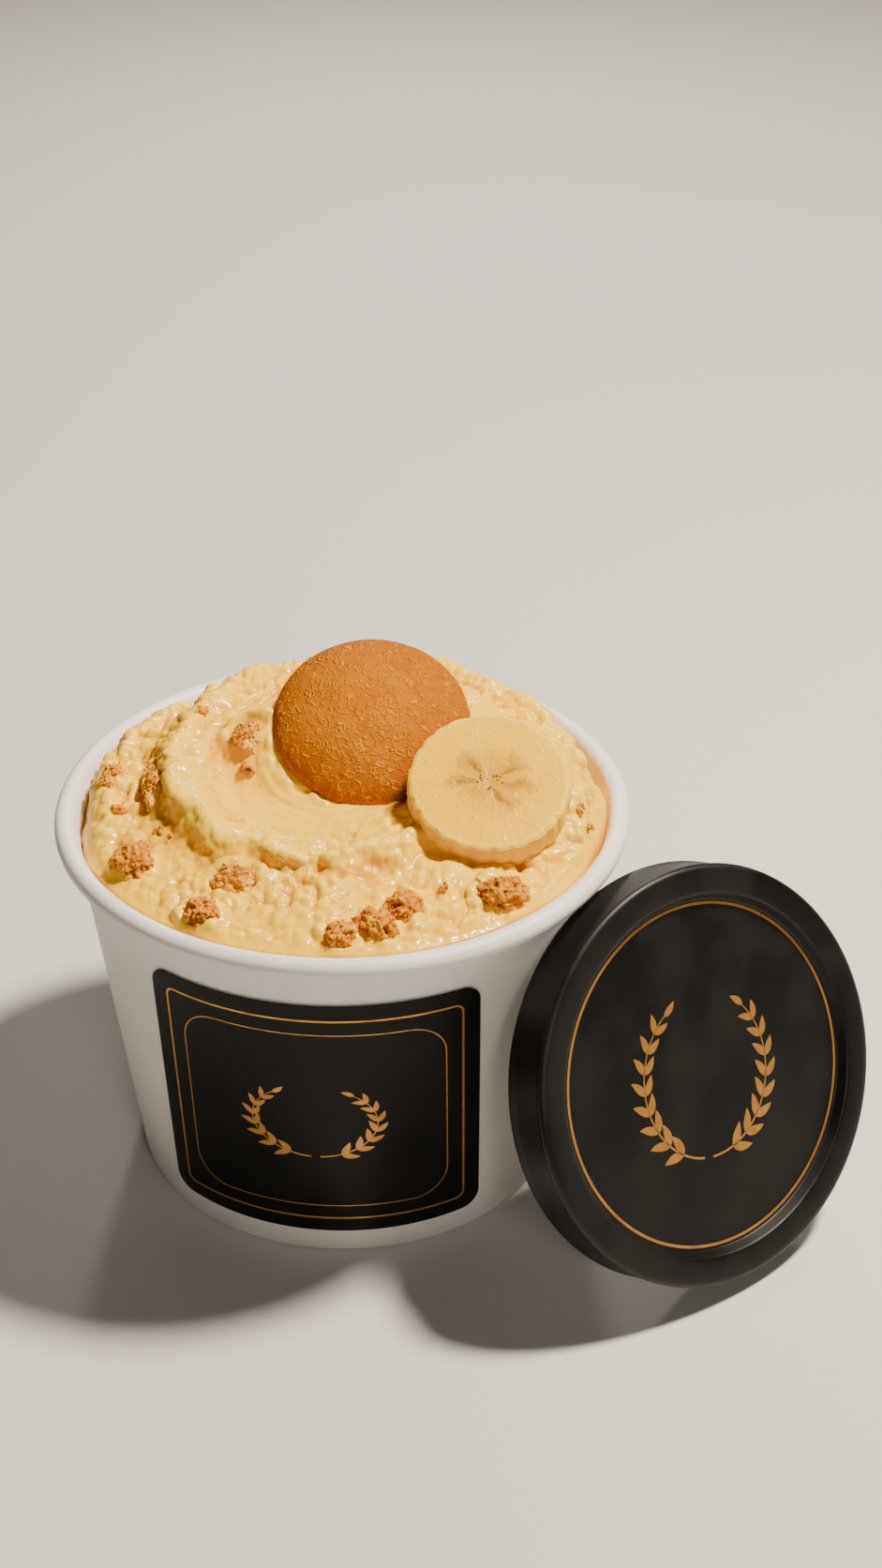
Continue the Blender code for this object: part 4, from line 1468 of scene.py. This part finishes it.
def on_wall(across, height, lift):
    """A point of the flat label, wrapped round the front of the wall."""
    radius = wall_radius(height) + lift
    return (radius * math.sin(across / radius), -radius * math.cos(across / radius), height)


def label_layer(form, lift):
    """Columns of points over the label, closer together near its ends."""
    half = LABEL_WIDTH / 2
    for k in range(COLUMNS + 1):
        across = half * math.sin(math.pi / 2 * (2 * k / COLUMNS - 1))
        inside = max(0.0, abs(across) - (half - LABEL_CORNER))
        cut = LABEL_CORNER - math.sqrt(max(0.0, LABEL_CORNER ** 2 - inside ** 2))
        levels = np.linspace(LABEL_BOTTOM + cut, LABEL_TOP - cut, ROWS + 1)
        yield [form.verts.new(on_wall(across, float(level), lift)) for level in levels]


form = bmesh.new()
back, front = (list(label_layer(form, LABEL_LIFT + up)) for up in (0, LABEL_THICK))
for k in range(COLUMNS):
    for row in range(ROWS):
        for layer, flip in ((front, 1), (back, -1)):
            corners = (layer[k][row], layer[k + 1][row], layer[k + 1][row + 1], layer[k][row + 1])
            form.faces.new(corners[::flip])
    for row, flip in ((0, 1), (ROWS, -1)):
        corners = (back[k][row], back[k + 1][row], front[k + 1][row], front[k][row])
        form.faces.new(corners[::flip])
for k, flip in ((0, 1), (COLUMNS, -1)):
    for row in range(ROWS):
        corners = (back[k][row], back[k][row + 1], front[k][row + 1], front[k][row])
        form.faces.new(corners[::flip])
print("label sheet:", len(form.verts), "points")

# %% [markdown]
# Black print is nearly even, with a low sheen. It is a very dark grey and not pure black, because
# nothing real swallows all light.

# %% Label material and piece
black_look = even_finish(
    "Black print",
    ((0.0025, 0.0022, 0.002), (0.005, 0.0042, 0.0038), 90.0, 1.0),
    (0.42, 0.52),
    (2200.0, 0.15, 0.05 * MM),
    Specular_IOR_Level=0.14,
)
label_mesh = mesh_from(form, "front_label")
piece("front_label", label_mesh, black_look, "label", "label", crisp=True)

# %% [markdown]
# Two thin gold frames run round the label. Foil print has hardly any thickness, but as a band a
# twentieth of a millimetre high it catches light along its edges and never flickers against the
# black, as two surfaces in one place would.

# %% Raised outlines
PRINT_THICK = 0.05 * MM
QUARTERS = ((0, (1, 1)), (90, (-1, 1)), (180, (-1, -1)), (270, (1, -1)))


def rounded_outline(width, height, corner, steps=8):
    """Points once round a rectangle with rounded corners, centred on 0, and their outward ways."""
    half_w, half_h = width / 2 - corner, height / 2 - corner
    for start, (side_x, side_y) in QUARTERS:
        for step in range(steps + 1):
            angle = math.radians(start + 90 * step / steps)
            way = (math.cos(angle), math.sin(angle))
            yield (side_x * half_w + corner * way[0], side_y * half_h + corner * way[1]), way


def filled_in(corners, step):
    """Adds points along an outline so that none are further apart than the step."""
    made = []
    for first, second in zip(corners, corners[1:] + corners[:1]):
        count = max(1, math.ceil(math.dist(first[0], second[0]) / step))
        for part in (k / count for k in range(count)):
            made.append(tuple(
                tuple(a + (b - a) * part for a, b in zip(first[n], second[n])) for n in (0, 1)
            ))
    return made


def ribbon(name, outline, width, place):
    """A thin raised band along a closed outline. Place maps (across, up, lift) to a point."""
    sides = ((0.5, 0), (0.5, PRINT_THICK), (-0.5, PRINT_THICK), (-0.5, 0))
    points, faces = [], []
    for (x, y), (out_x, out_y) in outline:
        for side, lift in sides:
            points.append(place(x + out_x * side * width, y + out_y * side * width, lift))
    for k in range(len(outline)):
        here, there = 4 * k, 4 * ((k + 1) % len(outline))
        faces += [(here + n, there + n, there + (n + 1) % 4, here + (n + 1) % 4) for n in range(4)]
    return mesh_of(name, points, faces)


print("print stands up by", round(PRINT_THICK / MM, 2), "mm")

# %% [markdown]
# The outer frame is the heavier one, with tight corners. The inner one is a fine line, and its
# corners are wide. Both go through the same function that wraps the label round the wall. The
# gold is satin, between paint and metal.

# %% Gold frames
# name, inset from the label's edge, corner radius and line width
FRAMES = (
    ("label_frame_outer", 3.8 * MM, 1.8 * MM, 0.45 * MM),
    ("label_frame_inner", 7.4 * MM, 7.5 * MM, 0.24 * MM),
)
FRAME_STEP = 1.5 * MM


def on_label(across, up, lift):
    return on_wall(across, LABEL_MIDDLE + up, LABEL_LIFT + LABEL_THICK + lift)


gold_look = even_finish(
    "Gold print",
    ((0.60, 0.30, 0.075), (0.45, 0.20, 0.04), 300.0, 0.8),
    (0.36, 0.5),
    (3000.0, 0.2, 0.04 * MM),
    Metallic=0.75,
)
for name, inset, corner, width in FRAMES:
    corners = list(rounded_outline(LABEL_WIDTH - 2 * inset, LABEL_HEIGHT - 2 * inset, corner))
    mesh = ribbon(name, filled_in(corners, FRAME_STEP), width, on_label)
    piece(name, mesh, gold_look, "label", crisp=True)

# %% [markdown]
# The middle of the label holds a plain laurel wreath, open at the top, one of the commonest
# ornaments there is. A thin stem curves up on each side, with leaves in pairs along it. Tapered
# curves could draw them too, but a flat band, which is a line with a width at each of its points,
# can be wrapped point by point like the rest of the print.

# %% Wreath parts
LEAF_STEPS, LEAF_BEND = 8, 0.25
LEAF_WIDTH, LEAF_TIP = 0.36, 0.02


def flat_band(form, line, widths, place):
    """A thin raised band along a line of points, with its own width at each."""
    rows = []
    for k, (x, y) in enumerate(line):
        before, after = line[max(k - 1, 0)], line[min(k + 1, len(line) - 1)]
        along = Vector((after[0] - before[0], after[1] - before[1])).normalized() * widths[k] / 2
        outer, inner = (x - along.y, y + along.x), (x + along.y, y - along.x)
        corners = ((outer, 0), (outer, PRINT_THICK), (inner, PRINT_THICK), (inner, 0))
        rows.append([form.verts.new(place(*corner, lift)) for corner, lift in corners])
    for first, second in zip(rows, rows[1:]):
        for n in range(4):
            form.faces.new((first[n], second[n], second[(n + 1) % 4], first[(n + 1) % 4]))
    form.faces.new(rows[0])
    form.faces.new(rows[-1][::-1])


def leaf(form, x, y, way, length, place):
    """A pointed leaf from x, y, bent a little to its side."""
    line, widths = [], []
    for part in (k / LEAF_STEPS for k in range(LEAF_STEPS + 1)):
        bent = way + LEAF_BEND * (part - 0.5)
        line.append((x + part * length * math.cos(bent), y + part * length * math.sin(bent)))
        full = math.sin(math.pi * part ** 0.8) ** 0.9
        widths.append(length * (LEAF_WIDTH * full + LEAF_TIP))
    flat_band(form, line, widths, place)


print("widest place of a leaf:", LEAF_WIDTH + LEAF_TIP, "of its length")

# %% [markdown]
# Leaves get shorter towards the tips, and each pair opens to both sides of the stem's own
# direction. One function draws the wreath for the label and for the lid, which differ in size,
# proportion and in the surface that carries them.

# %% Wreath
STEM_STEPS = 30
STEM_FROM, STEM_REACH = -86, 138
LEAVES_FROM, LEAVES_REACH = -66, 116
LEAF_OPENING, LEAF_SHRINK = 0.62, 0.25


def wreath(name, across, up, leaf_length, count, place):
    form = bmesh.new()
    for side in (-1, 1):
        def point(degrees):
            angle = math.radians(degrees)
            return side * across * math.cos(angle), up * math.sin(angle)

        steps = range(STEM_STEPS + 1)
        stem = [point(STEM_FROM + STEM_REACH * k / STEM_STEPS) for k in steps]
        widths = [leaf_length * (0.09 - 0.05 * k / STEM_STEPS) for k in steps]
        flat_band(form, stem, widths, place)
        for k in range(count):
            degrees = LEAVES_FROM + LEAVES_REACH * k / (count - 1)
            here, ahead = point(degrees), point(degrees + 2)
            way = math.atan2(ahead[1] - here[1], ahead[0] - here[0])
            length = leaf_length * (1 - LEAF_SHRINK * k / (count - 1))
            for turn in ((LEAF_OPENING, -LEAF_OPENING) if k < count - 1 else (0.0,)):
                leaf(form, *here, way + turn, length, place)
    bmesh.ops.recalc_face_normals(form, faces=form.faces)
    return mesh_from(form, name)


label_wreath = wreath("label_wreath", 12.5 * MM, 9.5 * MM, 3.7 * MM, 8, on_label)
piece("label_wreath", label_wreath, gold_look, "label", crisp=True)

# %% [markdown]
# ## Lid
#
# The lid is moulded black plastic: a raised ring, a step down to a flat panel, and a skirt with a
# rolled edge. It is turned from its section like the tub. Each bend in the section is a short
# arc, because an edge with no radius shows no line of light.

# %% Lid mesh
LID_SIDES = 240
LID_RADIUS, LID_DEPTH = 41.7 * MM, 11.4 * MM
SKIRT_RADIUS = LID_RADIUS - 0.30 * MM
LID_INSIDE = LID_RADIUS - 1.2 * MM
RING_INNER = 36.4 * MM
PANEL_DROP, PANEL_THICK = 2.1 * MM, 1.1 * MM
PANEL_HOLE = 0.05 * MM
lid_section = [
    (PANEL_HOLE, -PANEL_DROP),
    (RING_INNER - 2.3 * MM, -PANEL_DROP),
    (RING_INNER - 2.0 * MM, -PANEL_DROP),
    *arc((RING_INNER - 2.0 * MM, -PANEL_DROP + 0.5 * MM), 0.5 * MM, -90, -15, 3),
    *arc((RING_INNER - 0.1 * MM, -0.75 * MM), 0.7 * MM, 160, 90, 4),
    (RING_INNER + 0.2 * MM, 0.0),
    (LID_RADIUS - 1.8 * MM, 0.0),
    *arc((LID_RADIUS - 1.3 * MM, -1.3 * MM), 1.3 * MM, 80, 4, 6),
    (LID_RADIUS - 0.12 * MM, -1.7 * MM),
    (SKIRT_RADIUS, -2.0 * MM),
    (SKIRT_RADIUS, -6.0 * MM),
    (SKIRT_RADIUS, 3.1 * MM - LID_DEPTH),
    (LID_RADIUS - 0.25 * MM, 2.3 * MM - LID_DEPTH),
    *arc((LID_RADIUS - 1.1 * MM, 1.1 * MM - LID_DEPTH), 1.1 * MM, 20, -180, 9),
    (LID_RADIUS - 2.0 * MM, 2.5 * MM - LID_DEPTH),
    (LID_INSIDE, 3.3 * MM - LID_DEPTH),
    (LID_INSIDE, -2.2 * MM),
    (LID_INSIDE - 1.0 * MM, -1.2 * MM),
    (RING_INNER + 0.4 * MM, -1.2 * MM),
    (RING_INNER - 1.0 * MM, -PANEL_DROP - PANEL_THICK),
    (PANEL_HOLE, -PANEL_DROP - PANEL_THICK),
]
lid_mesh = turned_mesh("lid_shell", lid_section, LID_SIDES)

# %% [markdown]
# The lid stands on its skirt's edge and leans on the rim: the middle of its face is given, with
# the direction it faces and how far it tips back, as its solid has them. Its plastic is as dark
# as the print, but smoother.

# %% Lid material and piece
LID_PLACE = Vector((76.8, -33.9, 42.40)) * MM
LID_HEADING, LID_LEAN = math.radians(43.8), math.radians(24.6)

lid_look = even_finish(
    "Black lid",
    ((0.003, 0.0028, 0.0027), (0.006, 0.0055, 0.005), 70.0, 1.0),
    (0.36, 0.46),
    (1500.0, 0.22, 0.06 * MM),
    Specular_IOR_Level=0.28,
)
lid_pose = standing(LID_PLACE, LID_HEADING, math.pi / 2 - LID_LEAN)
piece("lid_shell", lid_mesh, lid_look, "lid", "lid", at=lid_pose, crisp=True)

# %% [markdown]
# A gold ring and a larger wreath are printed on the lid's panel. They are the same raised bands
# as on the label, laid on a plane. The lid was put down a little turned, so the wreath is too.

# %% Lid print
PRINT_RING, PRINT_RING_WIDTH, PRINT_RING_STEPS = 33.9 * MM, 0.55 * MM, 180
LID_PRINT_TURN = math.radians(-15)


def on_panel(across, up, lift):
    return (across, up, lift - PANEL_DROP)


ways = [math.tau * k / PRINT_RING_STEPS for k in range(PRINT_RING_STEPS)]
ways = [(math.cos(turn), math.sin(turn)) for turn in ways]
ring = [((PRINT_RING * way[0], PRINT_RING * way[1]), way) for way in ways]
lid_ring = ribbon("lid_ring", ring, PRINT_RING_WIDTH, on_panel)
piece("lid_ring", lid_ring, gold_look, "lid", at=lid_pose, crisp=True)
lid_wreath = wreath("lid_wreath", 15.5 * MM, 16.5 * MM, 5.0 * MM, 9, on_panel)
turned_pose = lid_pose @ Matrix.Rotation(LID_PRINT_TURN, 4, "Z")
piece("lid_wreath", lid_wreath, gold_look, "lid", at=turned_pose, crisp=True)

# %% [markdown]
# ## Light and floor
#
# A plain pale floor and three soft lights. The strongest stands high on the right, as in the
# photograph, so that the crest's outer flank falls into shade. A weak one fills from the front,
# and a small one low behind the tub draws out the far edges. The world adds a faint warm glow to
# the deepest shadows. Round lamps of some size give soft shadows, where a point would cut hard
# ones.

# %% Studio
FLOOR_HALF = 3
LIGHT_AIM = Vector((0, 0, 0.06))
# name, place, size in metres, watts and colour
LIGHTS = (
    ("Key", (0.36, 0.12, 0.88), 0.14, 22.5, (1.0, 0.88, 0.72)),
    ("Front fill", (0.35, -1.0, 0.62), 0.35, 2.8, (1.0, 0.92, 0.82)),
    ("Back", (-0.12, 0.85, 0.42), 0.10, 2.2, (1.0, 0.94, 0.85)),
)
WORLD_COLOUR, WORLD_STRENGTH = (1.0, 0.88, 0.74, 1), 0.06

corners = [(FLOOR_HALF * x, FLOOR_HALF * y, 0) for x, y in ((-1, -1), (1, -1), (1, 1), (-1, 1))]
floor_mesh = mesh_of("Floor", corners, [(0, 1, 2, 3)])
floor_look, *_ = material("Floor paint", Base_Color=(0.62, 0.61, 0.595, 1), Roughness=0.7)
floor_mesh.materials.append(floor_look)
floor = bpy.data.objects.new("Floor", floor_mesh)
bpy.context.scene.collection.objects.link(floor)

for name, place, size, watts, colour in LIGHTS:
    lamp = bpy.data.lights.new(name, "AREA")
    lamp.shape = "DISK"
    lamp.size = size
    lamp.energy = watts
    lamp.color = colour
    body = bpy.data.objects.new(name, lamp)
    body.location = place
    body.rotation_euler = (LIGHT_AIM - Vector(place)).to_track_quat("-Z", "Y").to_euler()
    bpy.context.scene.collection.objects.link(body)

world = bpy.data.worlds.new("Studio")
world.use_nodes = True
world.node_tree.nodes["Background"].inputs["Color"].default_value = WORLD_COLOUR
world.node_tree.nodes["Background"].inputs["Strength"].default_value = WORLD_STRENGTH
bpy.context.scene.world = world
print("lights:", [name for name, *_ in LIGHTS])
